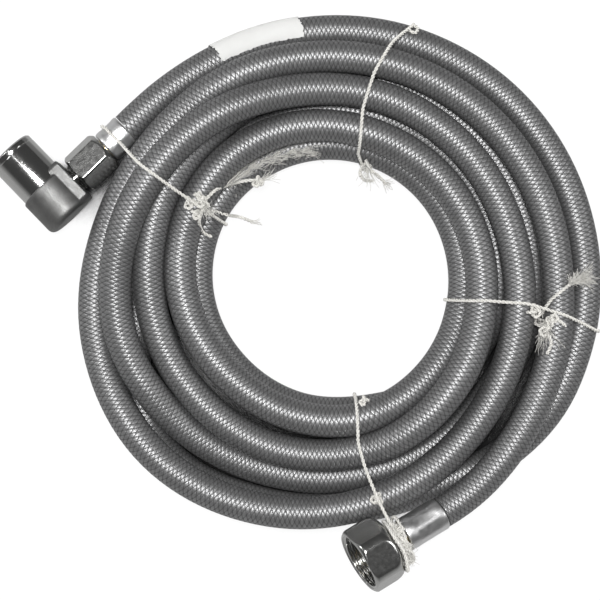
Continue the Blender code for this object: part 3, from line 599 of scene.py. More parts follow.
STEEL_BRAID = braided_steel()
FERRULE_STEEL = turned_metal("ferrule_steel", (0.74, 0.74, 0.74), 0.38, ring_depth=0.00001)
NUT_NICKEL = turned_metal("nut_nickel", (0.48, 0.48, 0.47), 0.25, unevenness=0.35)
SOCKET_NICKEL = turned_metal("socket_nickel", (0.50, 0.50, 0.49), 0.21, unevenness=0.25)
FORGED_NICKEL = grained("forged_nickel", (0.12, 0.12, 0.118), (0.28, 0.28, 0.275), 0.54, 1.0, 0.0005, 0.00005)
STEM_BRASS = turned_metal("stem_brass", (0.72, 0.58, 0.32), 0.28)
WASHER_RUBBER = grained("washer_rubber", (0.03, 0.03, 0.03), (0.05, 0.05, 0.05), 0.65, 0.0, 0.0004, 0.00003)
TUBE_RUBBER = grained("tube_rubber", (0.70, 0.69, 0.65), (0.78, 0.77, 0.73), 0.60, 0.0, 0.0004, 0.00003)
TWINE_FIBRE = grained("twine_fibre", (0.46, 0.45, 0.42), (0.62, 0.61, 0.58), 0.90, 0.0, 0.0002, 0.00006,
                      blotch_size=0.002)
LABEL_PAPER = grained("label_paper", (0.50, 0.50, 0.49), (0.56, 0.56, 0.55), 0.75, 0.0, 0.0005, 0.00002)


# Turned pieces

def softened(profile, radius, steps=3):
    """A closed profile with its corners rounded. Each point is (along, radius, flat, thread) in mm."""
    soft = []
    for i, here in enumerate(profile):
        before, after = profile[i - 1], profile[(i + 1) % len(profile)]
        a = np.array(before[:2], float) - here[:2]
        b = np.array(after[:2], float) - here[:2]
        la, lb = np.linalg.norm(a), np.linalg.norm(b)
        bend = abs(a[0] * b[1] - a[1] * b[0]) / (la * lb)
        reach = min(radius, 0.4 * la, 0.4 * lb)
        if bend < 0.15 or reach < 0.02:
            soft.append(here)
            continue
        start = np.array(here[:2]) + a / la * reach
        end = np.array(here[:2]) + b / lb * reach
        for t in np.linspace(0, 1, steps):
            spot = (1 - t)**2 * start + 2 * t * (1 - t) * np.array(here[:2]) + t**2 * end
            soft.append((spot[0], spot[1], *here[2:]))
    return soft


def piece(name, mesh, body, material, slot, *stands_for):
    """Puts a finished mesh in the scene with its body and its look, and hides the solids that it stands for.
    The slot is not used.
    """
    made = placed(name, mesh)
    made.data.materials.clear()
    made.data.materials.append(material)
    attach(made, body)
    if stands_for:
        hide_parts(*stands_for)
    return made


def ring(radii, angles, along):
    """A ring of points round an axis, in millimetres."""
    return np.stack([radii * np.cos(angles), radii * np.sin(angles), np.full(len(angles), along)], axis=1)


def ring_faces(low, high, sides):
    """The faces from one ring of points to another, which are numbered from low and from high."""
    return [(low + i, low + (i + 1) % sides, high + (i + 1) % sides, high + i) for i in range(sides)]


def ringed_mesh(name, rings, frame, faces):
    points = np.concatenate(rings) * MM
    mesh = bpy.data.meshes.new(name)
    mesh.from_pydata([tuple(frame @ Vector(p)) for p in points], [], faces)
    return mesh


def turned_mesh(name, profile, frame, sides=96, flats=6, phase=0.0, edge=0.12, pitch=1.8):
    """A closed turned shape. Where a profile point has a flat, the surface is cut back to it, with an
    edge of the given softness; where it has a thread, a groove of that depth winds round. Millimetres.
    """
    angles = np.arange(sides) / sides * 2 * math.pi
    turn = 2 * math.pi / flats
    off = (angles - math.radians(phase) + turn / 2) % turn - turn / 2
    rings = []
    for along, radius, flat, thread in profile:
        r = np.full(sides, float(radius))
        if flat:
            limit = flat / np.cos(off)
            r = -edge * np.logaddexp(-r / edge, -limit / edge)
        if thread:
            wave = np.abs(((along / pitch - angles / (2 * math.pi)) % 1.0) * 2 - 1)
            r = r - thread * np.clip(wave * 1.4 - 0.2, 0, 1)
        rings.append(ring(r, angles, along))
    faces, uvs = [], []
    size = max(p[1] for p in profile) * MM
    low = 0.0
    for row, ((a, b, *_), (c, d, *_)) in enumerate(zip(profile, profile[1:] + profile[:1])):
        high = low + math.hypot(c - a, d - b) * MM
        faces += ring_faces(row * sides, (row + 1) % len(profile) * sides, sides)
        for i in range(sides):
            u, v = i / sides * 2 * math.pi * size, (i + 1) / sides * 2 * math.pi * size
            uvs += [(u, low), (v, low), (v, high), (u, high)]
        low = high
    mesh = ringed_mesh(name, rings, frame, faces)
    layer = mesh.uv_layers.new(name="UVMap")
    layer.data.foreach_set("uv", np.array(uvs).ravel())
    shade(mesh, 40)
    return mesh


def outward(mesh):
    bm = bmesh.new()
    bm.from_mesh(mesh)
    bmesh.ops.recalc_face_normals(bm, faces=bm.faces)
    bm.to_mesh(mesh)
    bm.free()


def shade(mesh, sharp_from):
    """Smooth shading on an outward mesh, with edges sharp from this angle in degrees."""
    outward(mesh)
    mesh.shade_smooth()
    mesh.set_sharp_from_angle(angle=math.radians(sharp_from))


def plain(*points):
    """Profile points without flats or threads."""
    return [(a, r, 0, 0) for a, r in points]


def flatted(flat, *points):
    """Profile points that are cut back to flats."""
    return [(a, r, flat, 0) for a, r in points]


def turned(name, profile, frame, body, material, slot, stands_for, **shape):
    """A turned piece in the scene."""
    return piece(name, turned_mesh(name, profile, frame, **shape), body, material, slot, stands_for)


def ferrule_profile(length):
    """A sleeve crimped in flats between two round bands."""
    low, high = 0.17 * length, 0.76 * length
    outer, wall = FERRULE_RADIUS, length - 1.1
    return softened(plain((0, outer - 0.45), (0.5, outer), (low, outer))
                    + flatted(outer - FERRULE_CRIMP, (low + 1.1, outer), (high - 1.1, outer))
                    + plain((high, outer), (high + 0.5, outer + 0.06), (length - 0.6, outer + 0.02),
                            (length, outer - 0.55), (length, 5.2), (wall, 5.2), (wall, 6.65), (0, 6.65)), 0.3)


def make_inlet_end():
    ferrule = turned("crimped_ferrule_inlet", ferrule_profile(INLET_FERRULE), INLET, "hose", FERRULE_STEEL,
                     "ferrule", "inlet_ferrule", flats=8, phase=22.5, edge=0.05)

    barbs = []
    for i in range(4):
        start = 0.3 + i * 4.65
        barbs += [(start, 4.3), (start + 3.9, 4.8)]
    profile = softened(plain((0.3, 3.7), *barbs, (18.9, 4.9), (20.6, 4.9), (20.6, 6.5), (27.0, 6.5),
                             (27.0, 5.8), (29.9, 5.8), (29.9, 11.0), (31.9, 11.0), (31.9, 6.8), (35.8, 6.8),
                             (36.1, 6.5), (36.1, 4.9), (33.7, 3.7)), 0.25)
    stem = turned("swivel_stem", profile, INLET, "hose", STEM_BRASS, "brass", "inlet_stem", sides=72)

    flat, corner, mouth = 14.3, 15.6, 43.9
    quarter = [math.radians(a) for a in range(0, 91, 10)]
    outside = plain((NUT_BACK, 6.1), (NUT_BACK, 9.4))
    outside += flatted(flat, *((NUT_BACK + SHOULDER_DEPTH * (1 - math.cos(a)),
                                SHOULDER_FOOT + SHOULDER_RISE * math.sin(a)) for a in quarter))
    outside += flatted(flat, *((s, corner) for s in np.linspace(33.9, 42.2, 10)))
    outside += flatted(flat, (42.8, 15.3), (43.3, 14.9), (43.7, 14.4)) + plain((mouth, 14.1), (mouth, 13.6))
    inside = [(s, 13.25, 0, 0.0 if s > 43.3 else 1.0) for s in np.linspace(43.6, 35.3, 54)]
    inside += plain((34.9, 13.2), (31.2, 13.2), (29.8, 12.0), (29.6, 6.1))
    nut = turned("coupling_nut", outside + inside, INLET, "inlet_nut", NUT_NICKEL, "nickel", "inlet_nut",
                 sides=144, phase=-7, edge=0.10, pitch=2.2)

    profile = softened(plain((32.2, 7.1), (32.2, 12.6), (34.9, 12.6), (34.9, 7.1)), 0.4)
    washer = turned("seat_washer", profile, INLET, "inlet_nut", WASHER_RUBBER, "rubber", "inlet_washer",
                    sides=72)
    return [ferrule, stem, nut, washer]


def solid_mesh(name, profile, frame, sides=96, block=None):
    """A solid round an axis, with closed ends; where it is cut back to a block, the block's corners are
    rounded. The profile is (along, radius) in millimetres, the block (half height, half width, corner).
    """
    angles = np.arange(sides) / sides * 2 * math.pi
    rings = []
    for along, radius in profile:
        r = np.full(sides, float(radius))
        if block:
            high, wide, corner = block
            squared = ((np.abs(np.cos(angles) / high)**SQUARENESS + np.abs(np.sin(angles) / wide)**SQUARENESS)
                       ** (-1 / SQUARENESS))
            r = np.minimum(r, squared * radius / corner)
        rings.append(ring(r, angles, along))
    last = (len(profile) - 1) * sides
    faces = [tuple(range(sides)), tuple(range(last, last + sides))]
    for row in range(len(profile) - 1):
        faces += ring_faces(row * sides, (row + 1) * sides, sides)
    mesh = ringed_mesh(name, rings, frame, faces)
    outward(mesh)
    return mesh


def fused(name, meshes, voxel, rounds):
    """Several closed solids grown into one forging, with soft fillets where they meet."""
    bm = bmesh.new()
    for mesh in meshes:
        bm.from_mesh(mesh)
    joined = bpy.data.meshes.new(name)
    bm.to_mesh(joined)
    bm.free()
    source = placed(name, joined)
    remesh = source.modifiers.new("remesh", "REMESH")
    remesh.mode = "VOXEL"
    remesh.voxel_size = voxel
    smooth = source.modifiers.new("smooth", "SMOOTH")
    smooth.factor = 0.5
    smooth.iterations = rounds
    made = finished_mesh(source, name)
    bpy.data.objects.remove(source)
    made.shade_smooth()
    return made


def finished_mesh(source, name):
    """The object's mesh with its modifiers carried out."""
    bpy.context.view_layer.update()
    graph = bpy.context.evaluated_depsgraph_get()
    mesh = bpy.data.meshes.new_from_object(source.evaluated_get(graph), depsgraph=graph)
    mesh.name = name
    return mesh


def make_elbow_end():
    ferrule = turned("crimped_ferrule_elbow", ferrule_profile(ELBOW_FERRULE), ELBOW, "hose", FERRULE_STEEL,
                     "ferrule", "elbow_ferrule", flats=8, edge=0.05)

    flat, back, front = 8.9, 12.6, 30.1
    outside = plain((back, 5.2), (back, 7.9))
    outside += flatted(flat, *((back + 0.1 + 0.24 * i, 8.1 + 0.24 * i) for i in range(11)))
    outside += flatted(flat, *((s, 10.5) for s in np.linspace(back + 3.2, front - 1.6, 8)))
    outside += flatted(flat, (front - 1.0, 10.1), (front - 0.4, 9.2)) + plain((front, 8.5))
    inside = plain((front, 7.5), (front - 0.6, 6.9), (back + 3.1, 6.9), (back + 3.0, 5.2))
    nut = turned("hex_gland_nut", outside + inside, ELBOW, "compression_nut", NUT_NICKEL, "nickel",
                 "compression_nut", sides=144, phase=9, edge=0.06)

    centre = Matrix.Translation(ELBOW @ Vector((0, 0, ELBOW_CENTRE * MM)))
    to_socket = centre @ Matrix.Rotation(math.radians(-90), 4, "X")
    to_hose = centre @ Matrix.Rotation(math.radians(90), 4, "Y")
    fillet = [(-11.5 + 3.0 * (1 - math.cos(math.radians(a))), 9.1 + 3.0 * math.sin(math.radians(a)))
              for a in range(0, 91, 15)]
    trunk = solid_mesh("trunk", fillet + [(6.4, 12.1), (7.0, 11.6)], to_socket)
    block = solid_mesh("block", [(0, 13.2), (11.9, 13.2), (12.4, 12.7)], to_hose, block=(9.2, 11.1, 13.2))
    forging = piece("forged_elbow", fused("forged_elbow", [trunk, block], 0.00032, 3), "elbow", FORGED_NICKEL,
                    "forging", "elbow_body")

    end, bore = 29.3, 8.0
    bottom = end - 14.0
    profile = softened(plain(
        (5.5, 11.0), (8.0, 11.2), (end - 3.4, 11.2), (end - 3.2, 11.0), (end - 3.0, 11.0), (end - 2.8, 11.15),
        (end - 0.8, 11.15), (end, 10.4), (end, 8.8), (end - 0.8, bore), (bottom + 1.5, bore), (bottom, 4.3),
        (8.2, 4.3), (8.2, 1.0), (5.5, 1.0)), 0.15)
    socket = turned("turned_socket", profile, to_socket, "elbow", SOCKET_NICKEL, "forging", "elbow_body",
                    sides=120)

    root = ELBOW_CENTRE - 12.0
    thread = [(s, 6.6, 0, 0.5) for s in np.linspace(22.4, root, 60)]
    profile = plain((21.6, 4.4), (21.6, 6.1)) + thread + plain((root + 0.5, 6.1), (root + 0.5, 4.4))
    spigot = turned("threaded_spigot", profile, ELBOW, "elbow", SOCKET_NICKEL, "forging", "elbow_body",
                    sides=72, pitch=1.4)
    return [ferrule, nut, forging, socket, spigot]


# Swept lines

def tube(tree, line, section):
    """A section swept along a line, with closed ends."""
    inputs = {"Curve": line, "Profile Curve": section, "Fill Caps": True}
    return node(tree, "GeometryNodeCurveToMesh", inputs).outputs[0]


def circle(tree, start, radius):
    inputs = {"Resolution": start.outputs["Sides"], "Radius": start.outputs[radius]}
    return node(tree, "GeometryNodeCurvePrimitiveCircle", inputs).outputs[0]


def finish_geometry_tree(tree, geometry, start, end):
    """Makes the result real geometry, in the input's material."""
    whole = node(tree, "GeometryNodeRealizeInstances", {0: geometry}).outputs[0]
    covered = {"Geometry": whole, "Material": start.outputs["Material"]}
    feed(tree, end, {0: node(tree, "GeometryNodeSetMaterial", covered).outputs[0]})


def line_object(name, lines):
    """A curve object for a tree to sweep along. Each line is (points, closed)."""
    curve = bpy.data.curves.new(name, "CURVE")
    curve.dimensions = "3D"
    for points, closed in lines:
        spline = curve.splines.new("POLY")
        spline.points.add(len(points) - 1)
        for target, point in zip(spline.points, points):
            target.co = (*point, 1.0)
        spline.use_cyclic_u = closed
    return placed(name, curve)


def baked(name, lines, tree, sockets, values, material):
    """Runs a tree on the lines with these input values and keeps the result as a plain mesh."""
    source = line_object(name, lines)
    modifier = source.modifiers.new("shape", "NODES")
    modifier.node_group = tree
    for label, value in {**values, "Material": material}.items():
        modifier[sockets[label]] = value
    mesh = finished_mesh(source, name)
    source.modifiers.remove(modifier)
    bpy.data.objects.remove(source)
    mesh.shade_smooth()
    return mesh


# Braided hose

def hose_tube_tree():
    """Sweeps a round section along a line and stores where each point lies on the hose's surface."""
    tree, start, end, sockets = start_tree(
        "GeometryNodeTree", "hose_tube",
        [("Geometry", "Geometry"), ("Hose radius", "Float"), ("Sides", "Int"), ("Material", "Material")],
        [("Geometry", "Geometry")])
    captured = []
    round_section = circle(tree, start, "Hose radius")
    for curve, value in ((start.outputs["Geometry"], "Length"), (round_section, "Factor")):
        made = node(tree, "GeometryNodeCaptureAttribute", {0: curve}, domain="POINT")
        made.capture_items.new("FLOAT", value)
        feed(tree, made, {1: node(tree, "GeometryNodeSplineParameter").outputs[value]})
        captured.append(made.outputs)
    line, section = captured
    turn = calc(tree, "MULTIPLY", section[1], 2 * math.pi)
    lay = node(tree, "ShaderNodeCombineXYZ", {
        0: calc(tree, "COSINE", turn), 1: calc(tree, "SINE", turn), 2: line[1]}).outputs[0]
    stored = node(tree, "GeometryNodeStoreNamedAttribute", {
        "Geometry": tube(tree, line[0], section[0]), "Name": "braid_lay", "Value": lay},
        data_type="FLOAT_VECTOR", domain="POINT")
    finish_geometry_tree(tree, stored.outputs[0], start, end)
    return tree, sockets


def make_hose():
    tree, sockets = hose_tube_tree()
    mesh = baked("braided_hose", [(HOSE_POINTS, False)], tree, sockets,
                 {"Hose radius": HOSE_RADIUS, "Sides": HOSE_SIDES}, STEEL_BRAID)
    hose = piece("braided_hose", mesh, "hose", STEEL_BRAID, "braid",
                 "hose_coil", "hose_lead_inlet", "hose_lead_elbow")


# Twine

def laid_twine_tree():
    """Lays plies round a line: each ply winds round the line's centre and is swept with a small circle."""
    tree, start, end, sockets = start_tree(
        "GeometryNodeTree", "laid_twine",
        [("Geometry", "Geometry"), ("Ply radius", "Float"), ("Ply offset", "Float"), ("Lay length", "Float"),
         ("Plies", "Int"), ("Step", "Float"), ("Sides", "Int"), ("Material", "Material")],
        [("Geometry", "Geometry")])
    given = start.outputs
    stepped = node(tree, "GeometryNodeResampleCurve", {"Curve": given["Geometry"], "Length": given["Step"]},
                   mode="LENGTH").outputs[0]
    plies = node(tree, "GeometryNodeDuplicateElements", {"Geometry": stepped, "Amount": given["Plies"]},
                 domain="SPLINE").outputs
    length = node(tree, "GeometryNodeSplineParameter").outputs["Length"]
    share = calc(tree, "DIVIDE", plies["Duplicate Index"], given["Plies"])
    turn = calc(tree, "ADD", calc(tree, "DIVIDE", length, given["Lay length"]), share)
    angle = calc(tree, "MULTIPLY", turn, 2 * math.pi)
    normal = node(tree, "GeometryNodeInputNormal").outputs[0]
    tangent = node(tree, "GeometryNodeInputTangent").outputs[0]
    side = vector_math(tree, "CROSS_PRODUCT", {0: tangent, 1: normal})
    over = vector_math(tree, "SCALE", {0: normal, 3: calc(tree, "COSINE", angle)})
    across = vector_math(tree, "SCALE", {0: side, 3: calc(tree, "SINE", angle)})
    outwards = vector_math(tree, "ADD", {0: over, 1: across})
    offset = vector_math(tree, "SCALE", {0: outwards, 3: given["Ply offset"]})
    moved = node(tree, "GeometryNodeSetPosition", {"Geometry": plies["Geometry"],
                                                   "Offset": offset}).outputs[0]
    finish_geometry_tree(tree, tube(tree, moved, circle(tree, start, "Ply radius")), start, end)
    return tree, sockets


TWINE_TREE, TWINE_SOCKETS = laid_twine_tree()
TWINE_VALUES = {"Ply radius": 0.00044, "Ply offset": 0.00040, "Lay length": 0.0038, "Plies": 2,
                "Step": 0.0004, "Sides": 7}
FIBRE_VALUES = {"Ply radius": 0.00009, "Ply offset": 0.0, "Lay length": 0.01, "Plies": 1,
                "Step": 0.0008, "Sides": 4}


def twine_piece(name, lines, values, *nodes):
    """One piece of twine or fibre from several lines, each (points, closed). It stands for the nodes."""
    mesh = baked(name, lines, TWINE_TREE, TWINE_SOCKETS, values, TWINE_FIBRE)
    return piece(name, mesh, "hose", TWINE_FIBRE, "twine", *nodes)


def rounded_line(points, per=6):
    """A smooth line through the points, with extra points between them."""
    p = [Vector(q) for q in points]
    p = [p[0] * 2 - p[1]] + p + [p[-1] * 2 - p[-2]]
    line = []
    for i in range(1, len(p) - 2):
        for k in range(per):
            t = k / per
            line.append(0.5 * (2 * p[i] + (p[i + 1] - p[i - 1]) * t
                               + (2 * p[i - 1] - 5 * p[i] + 4 * p[i + 1] - p[i + 2]) * t**2
                               + (3 * p[i] - p[i - 1] - 3 * p[i + 1] + p[i + 2]) * t**3))
    return line + [p[-2]]


def convex_loop(points):
    """The points' outer loop, as a stretched string would follow it."""
    def half(ordered):
        chain = []
        for p in ordered:
            while len(chain) > 1:
                (ax, ay), (bx, by) = chain[-2], chain[-1]
                if (bx - ax) * (p[1] - ay) - (by - ay) * (p[0] - ax) > 0:
                    break
                chain.pop()
            chain.append(p)
        return chain[:-1]
    ordered = sorted(points)
    return half(ordered) + half(ordered[::-1])


def tie_loop(name, fittings=()):
    """A tie's line: a tight loop round all the turns that it crosses, and round a fitting under it."""
    circles = list(fittings)
    for radius, _ in strands_at(tie_angle(name, LAPS_COUNTED_AT)):
        turns = strands_at(tie_angle(name, radius))
        circles.append((*min(turns, key=lambda strand: abs(strand[0] - radius)), HOSE_RADIUS))
    points = []
    for radius, height, size in circles:
        reach = size + CLEARANCE + TWINE_RADIUS
        for i in range(28):
            a = 2 * math.pi * (i + 0.5) / 28
            points.append((radius + reach * math.cos(a), height + reach * math.sin(a)))
    loop = convex_loop(points)
    path = []
    for (r0, z0), (r1, z1) in zip(loop, loop[1:] + loop[:1]):
        pieces = max(1, round(math.hypot(r1 - r0, z1 - z0) / 0.002))
        for i in range(pieces):
            r, z = r0 + (r1 - r0) * i / pieces, z0 + (z1 - z0) * i / pieces
            path.append(polar(tie_angle(name, r), r, z))
    return path


def from_photo(x, y, rise, fixed=False):
    """The place seen at a pixel of the photograph, with its rise over the coil in millimetres. Where it
    is fixed, the rise counts from the floor.
    """
    pixel, middle = PHOTO_WIDTH / PHOTO_PIXELS, PHOTO_PIXELS / 2
    flat = on_photo((x - middle) * pixel, (middle - y) * pixel)
    z = 0.03
    for _ in range(3):
        place = LOOK_AT + flat * (1 - (z - LOOK_AT.z) / CAMERA_DISTANCE)
        from_centre = place - COIL_CENTRE
        angle = math.degrees(math.atan2(from_centre.y, from_centre.x))
        z = rise * MM if fixed else top_of_coil(angle, from_centre.xy.length) + rise * MM
    return Vector((place.x, place.y, z))


def knot_line(centre, size, tilt, spin):
    """A small closed overhand knot, pulled up round its centre."""
    turned_by = Matrix.Rotation(math.radians(spin), 3, "Z") @ Matrix.Rotation(math.radians(tilt), 3, "X")
    line = []
    for i in range(48):
        t = 2 * math.pi * i / 48
        p = Vector((math.sin(t) + 2 * math.sin(2 * t), math.cos(t) - 2 * math.cos(2 * t),
                    -1.2 * math.sin(3 * t)))
        line.append(centre + turned_by @ p * size)
    return line


def scattered(rng, spread):
    return Vector([rng.uniform(-spread, spread) for _ in range(3)])


def frayed(rng, root, towards, count, length, spread):
    """Loose fibres from one place, each with a bend and a curl of its own, none below the floor."""
    lines = []
    for _ in range(count):
        aim = towards.normalized() + scattered(rng, spread)
        aim.normalize()
        far = length * rng.uniform(0.45, 1.0)
        place = root + scattered(rng, 0.0008)
        points = [place]
        for _ in range(5):
            aim = (aim + scattered(rng, 0.45) * 0.6 + Vector((0, 0, -0.12))).normalized()
            place = place + aim * far / 5
            place.z = max(place.z, 0.0004)
            points.append(place.copy())
        lines.append((rounded_line(points, 3), False))
    return lines


def knots(*values):
    """Knots, each given as ((x, y, rise), size, tilt, spin)."""
    return [(knot_line(from_photo(*place), size, tilt, spin), True) for place, size, tilt, spin in values]


def ends(*lines):
    """Loose ends of twine, each given by the places that it passes."""
    return [(rounded_line([from_photo(*place) for place in line]), False) for line in lines]


def tufts(rng, *values):
    """Frayed places, each given as ((x, y, rise), (right, up, rise), count, length, spread)."""
    lines = []
    for place, (right, up, rise), *amounts in values:
        lines += frayed(rng, from_photo(*place), on_photo(right, up) + Vector((0, 0, rise)), *amounts)
    return lines


def round_inlet(angle, radius, along):
    """A place round the inlet end's axis, from radians and millimetres."""
    return INLET @ Vector((radius * math.cos(angle) * MM, radius * math.sin(angle) * MM, along * MM))


def neck_lines():
    """Twine wound on the neck, loops that lean across it, loose turns on the nut's back, and knots."""
    first, last, turns = 21.35, 26.3, 4
    lines = [([round_inlet(2 * math.pi * i / 24, 7.45, first + (last - first) * i / (turns * 24))
               for i in range(turns * 24 + 1)], False)]
    middle = 0.5 * (first + last)
    once_round = [2 * math.pi * i / 36 for i in range(36)]
    for lean, size, at in ((2.2, 8.7, middle), (-1.9, 8.8, middle), (1.0, 9.6, middle), (2.5, 9.4, 22.3),
                           (-2.2, 10.0, 22.9)):
        lines.append(([round_inlet(a, size, at + lean * math.sin(a + size)) for a in once_round], True))
    deep, high = SHOULDER_DEPTH + OFF_SHOULDER, SHOULDER_RISE + OFF_SHOULDER
    for start, stop, climb in ((-105, 5, 40), (-70, 50, 28), (-92, -15, 47), (-35, 58, 38), (-100, -48, 34)):
        loose = []
        for i in range(25):
            a = math.radians(climb * math.sin(math.pi * i / 24))
            b = math.radians(start + (stop - start) * i / 24)
            loose.append(round_inlet(b, SHOULDER_FOOT + high * math.sin(a),
                                     NUT_BACK + SHOULDER_DEPTH - deep * math.cos(a)))
        lines.append((loose, False))
    for a, s, size in ((-30, 23.4, 0.8), (-62, 24.2, 0.95), (-85, 22.9, 0.85), (-15, 25.2, 0.7),
                       (20, 22.6, 0.65)):
        centre = round_inlet(math.radians(a), 10.2, s)
        lines.append((knot_line(centre, size * MM, 60 + 40 * s, 25 * s), True))
    return lines


def make_twine():
    rng = random.Random(41)
    elbow_ring = ELBOW @ Vector((0, 0, 0.45 * ELBOW_FERRULE * MM)) - COIL_CENTRE
    neck = INLET @ Vector((0, 0, NECK_MIDDLE * MM))
    inlet_ring = neck - COIL_CENTRE

    left = [(tie_loop("tie_left", [(elbow_ring.xy.length, elbow_ring.z, FERRULE_RADIUS * MM)]), True)]
    left += knots(((203, 203, 1.0), 0.00085, 20, 10), ((196, 214, 0.8), 0.00075, 50, 80),
                  ((209, 212, 0.9), 0.0007, 70, 140))
    left += ends(
        ((198, 206, 0.4), (214, 211, 0.8), (228, 215, 1.5), (240, 217, 24, True), (252, 222, 21, True)),
        ((205, 200, 0.8), (216, 190, 0.6), (228, 184, 0.5), (244, 181, 25, True), (262, 180, 22, True)),
        ((203, 208, 0.6), (199, 221, 0.5), (203, 232, 0.3), (212, 237, 0.4)))
    left += knots(((190, 203, 0.9), 0.0009, 30, 45), ((199, 196, 0.8), 0.0007, 65, 100),
                  ((258, 182, 23, True), 0.0008, 30, 20))
    twine_piece("twine_left", left, TWINE_VALUES, "tie_left")
    fray = tufts(rng, ((262, 180, 22, True), (1, 0.25, 0), 16, 0.010, 0.55),
                 ((252, 222, 21, True), (1, -0.1, 0), 10, 0.006, 0.5),
                 ((204, 206, 0.8), (0.3, -0.6, 0.4), 26, 0.009, 0.9))
    inner_edge = [(228, 184), (238, 175), (249, 168), (261, 162), (274, 157), (288, 153), (302, 151),
                  (316, 151)]
    for (x0, y0), (x1, y1) in zip(inner_edge, inner_edge[1:]):
        fray += tufts(rng, ((x0, y0, 0.2), (x1 - x0, y0 - y1, 0), 26, 0.013, 0.30),
                      ((x1, y1 + 3, 0.1), (x0 - x1, y1 - y0, 0), 16, 0.009, 0.40))
    twine_piece("frayed_fibres_left", fray, FIBRE_VALUES)

    top = [(tie_loop("tie_top"), True)]
    top += knots(((367, 166, 0.6), 0.00075, 40, 30))
    top += ends(((366, 160, 0.5), (371, 170, 24, True), (380, 178, 19, True), (386, 184, 15, True)),
                ((366, 163, 0.8), (360, 172, 24, True), (364, 180, 20, True), (373, 181, 18, True)),
                ((413, 25, 0.4), (418, 28, 0.8), (415, 33, 0.9), (409, 30, 0.6)))
    twine_piece("twine_top", top, TWINE_VALUES, "tie_top")
    fray = tufts(rng, ((368, 168, 24, True), (0.2, -1, 0), 30, 0.011, 0.7),
                 ((384, 182, 16, True), (0.6, -0.6, 0), 18, 0.007, 0.7))
    twine_piece("frayed_fibres_top", fray, FIBRE_VALUES)

    right = [(tie_loop("tie_right"), True)]
    right += knots(((540, 317, 1.2), 0.0013, 15, 60), ((546, 330, 1.0), 0.0011, 60, 10),
                   ((534, 311, 1.0), 0.0010, 35, 120), ((552, 320, 1.0), 0.0009, 45, 200))
    right += ends(((541, 320, 0.9), (548, 333, 0.6), (551, 344, 0.4), (547, 354, 0.3)),
                  ((543, 312, 1.0), (551, 300, 0.8), (563, 290, 0.8), (575, 281, 0.9)),
                  ((545, 322, 0.9), (557, 320, 0.5), (566, 326, 0.4)))
    twine_piece("twine_right", right, TWINE_VALUES, "tie_right")
    fray = tufts(rng, ((578, 279, 0.9), (1, 0.1, 0.2), 150, 0.010, 0.8),
                 ((571, 283, 0.8), (0.6, 0.6, 0.2), 90, 0.007, 0.9),
                 ((544, 325, 1.0), (0.35, -1, 0.1), 130, 0.015, 0.45),
                 ((538, 312, 1.0), (-0.6, -0.4, 0.3), 24, 0.009, 0.8))
    twine_piece("frayed_fibres_right", fray, FIBRE_VALUES)

    bottom = [(tie_loop("tie_bottom", [(inlet_ring.xy.length, inlet_ring.z, NECK_RADIUS)]), True)]
    bottom += knots(((377, 499, 0.9), 0.00085, 10, 0), ((364, 401, 0.5), 0.0007, 50, 30))
    twine_piece("twine_bottom", bottom, TWINE_VALUES, "tie_bottom")

    twine_piece("twine_neck", neck_lines(), TWINE_VALUES, "neck_twine")
    fray = []
    for a in (-75, -50, -20):
        outer = round_inlet(math.radians(a), 10.5, NECK_MIDDLE)
        fray += frayed(rng, outer, outer - neck, 14, 0.005, 0.9)
    twine_piece("frayed_fibres_neck", fray, FIBRE_VALUES)


# Label

def make_label():
    """A paper strip bent over the outer turn, with cut edges that wander and a corner that has lifted."""
    rng = random.Random(7)
    rows, columns = 44, 30
    ragged = [[rng.uniform(-1, 1) for _ in range(columns + 1)] for _ in range(2)]
    waves = [[rng.uniform(-1, 1) for _ in range(rows + 1)] for _ in range(2)]
    first, last = LABEL_ANGLES
    outer, inner = [], []
    for i in range(rows + 1):
        u = i / rows
        for k in range(columns + 1):
            v = k / columns
            low = first + 0.25 * ragged[0][k] + 0.5 * math.sin(5.0 * v)
            high = last + 0.25 * ragged[1][k] + 0.7 * math.sin(4.0 * v + 1.0)
            angle = low + (high - low) * u
            bend = math.radians(LABEL_EDGE + 2.0 * waves[0][i]
                                + (LABEL_WRAP + 2.0 * (waves[1][i] - waves[0][i])) * v)
            lift = 0.0010 * max(0.0, v - 0.75) * 4 * max(0.0, 0.3 - u) * 3.3
            radius, height = hose_at(angle + LABEL_LAP)
            for layer, size in zip((outer, inner), LABEL_FACES):
                r = HOSE_RADIUS + CLEARANCE + size + lift
                layer.append(tuple(polar(angle, radius + r * math.cos(bend), height + r * math.sin(bend))))
    stride, count = columns + 1, len(outer)
    faces = []
    for i in range(rows):
        for k in range(columns):
            a, b = i * stride + k, (i + 1) * stride + k
            faces += [(a, b, b + 1, a + 1), (count + a + 1, count + b + 1, count + b, count + a)]
    edge = [k for k in range(columns)] + [i * stride + columns for i in range(rows)]
    edge += [rows * stride + columns - k for k in range(columns)] + [(rows - i) * stride for i in range(rows)]
    faces += [(a, b, count + b, count + a) for a, b in zip(edge, edge[1:] + edge[:1])]
    mesh = bpy.data.meshes.new("paper_label")
    mesh.from_pydata(outer + inner, [], faces)
    shade(mesh, 50)
    piece("paper_label", mesh, "hose", LABEL_PAPER, "paper", "label")


# Floor and room

def seen_rays(tree):
    """1 for rays that show a thing, straight, in metal or through it, and 0 for light that falls."""
    rays = node(tree, "ShaderNodeLightPath").outputs
    shown = calc(tree, "MAXIMUM", rays["Is Camera Ray"], rays["Is Glossy Ray"])
    return calc(tree, "MAXIMUM", shown, rays["Is Transmission Ray"]), rays["Is Glossy Ray"]


def room_light(tree, heading):
    inputs = {"Direction": heading, "Dark side": on_photo(*DARK_SIDE)}
    return use_group(tree, STUDIO_ROOM, inputs)["Light"]


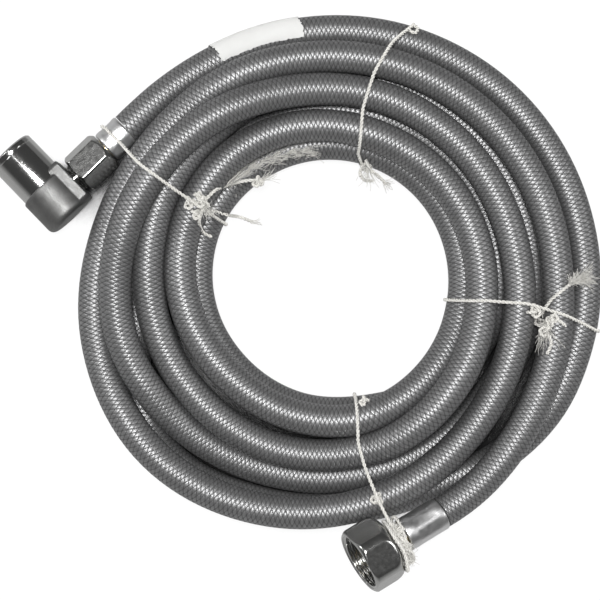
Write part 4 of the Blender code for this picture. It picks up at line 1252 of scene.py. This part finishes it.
def make_floor():
    """A floor that looks plain white, dims in metal as the room does, and has painted shade where turns shut
    it in.
    """
    mesh = bpy.data.meshes.new("studio_floor")
    a = FLOOR_REACH
    mesh.from_pydata([(-a, -a, 0), (a, -a, 0), (a, a, 0), (-a, a, 0)], [], [(0, 1, 2, 3)])
    floor = placed("studio_floor", mesh)
    floor.location.z = FLOOR_HEIGHT
    made, tree, shader = start_material("studio_floor", 0.0, 0.9)
    seen, glossy = seen_rays(tree)
    travel = vector_math(tree, "SCALE", {0: node(tree, "ShaderNodeNewGeometry").outputs["Incoming"], 3: -1.0})
    shown = value_between(tree, glossy, 1.0, room_light(tree, travel))
    glow = node(tree, "ShaderNodeEmission", {"Color": (1, 1, 1, 1), "Strength": shown}).outputs[0]
    # Painted shade: where turns shut the floor in, occlusion darkens its colour and its glow
    slit_occlusion = node(tree, "ShaderNodeAmbientOcclusion", {"Distance": SLIT_REACH}, samples=SLIT_SAMPLES)
    light = ramp(tree, slit_occlusion.outputs["AO"], *SLIT_SHADE_RAMP)
    feed(tree, shader, {"Base Color": between(tree, light, (0, 0, 0), FLOOR_WHITE)})
    share = calc(tree, "MULTIPLY", calc(tree, "MULTIPLY", seen, FLOOR_GLOW), light)
    mixed = node(tree, "ShaderNodeMixShader", {0: share, 1: shader.outputs[0], 2: glow}).outputs[0]
    feed(tree, tree.nodes["Material Output"], {0: mixed})
    mesh.materials.append(made)


def light_world():
    """A plain white room with a dim ceiling, which the metal shows too; it lights everything evenly."""
    world = bpy.data.worlds.new("studio")
    world.use_nodes = True
    bpy.context.scene.world = world
    tree = world.node_tree
    room = room_light(tree, node(tree, "ShaderNodeTexCoord").outputs["Generated"])
    strength = value_between(tree, seen_rays(tree)[0], ROOM_FILL, room)
    feed(tree, tree.nodes["Background"], {"Color": (1, 1, 1, 1), "Strength": strength})


bpy.context.scene.view_settings.view_transform = "Standard"
set_camera()
light_scene()
light_world()
make_floor()
inlet_pieces = make_inlet_end()
elbow_pieces = make_elbow_end()
make_hose()
make_twine()
make_label()

CAD_LOOKS = {
    "inlet_tube_end": TUBE_RUBBER, "elbow_tube_end": TUBE_RUBBER, "elbow_stem": STEM_BRASS,
    "cone_washer": WASHER_RUBBER,
}
for name, look in CAD_LOOKS.items():
    frame["nodes"][name].data.materials.clear()
    frame["nodes"][name].data.materials.append(look)
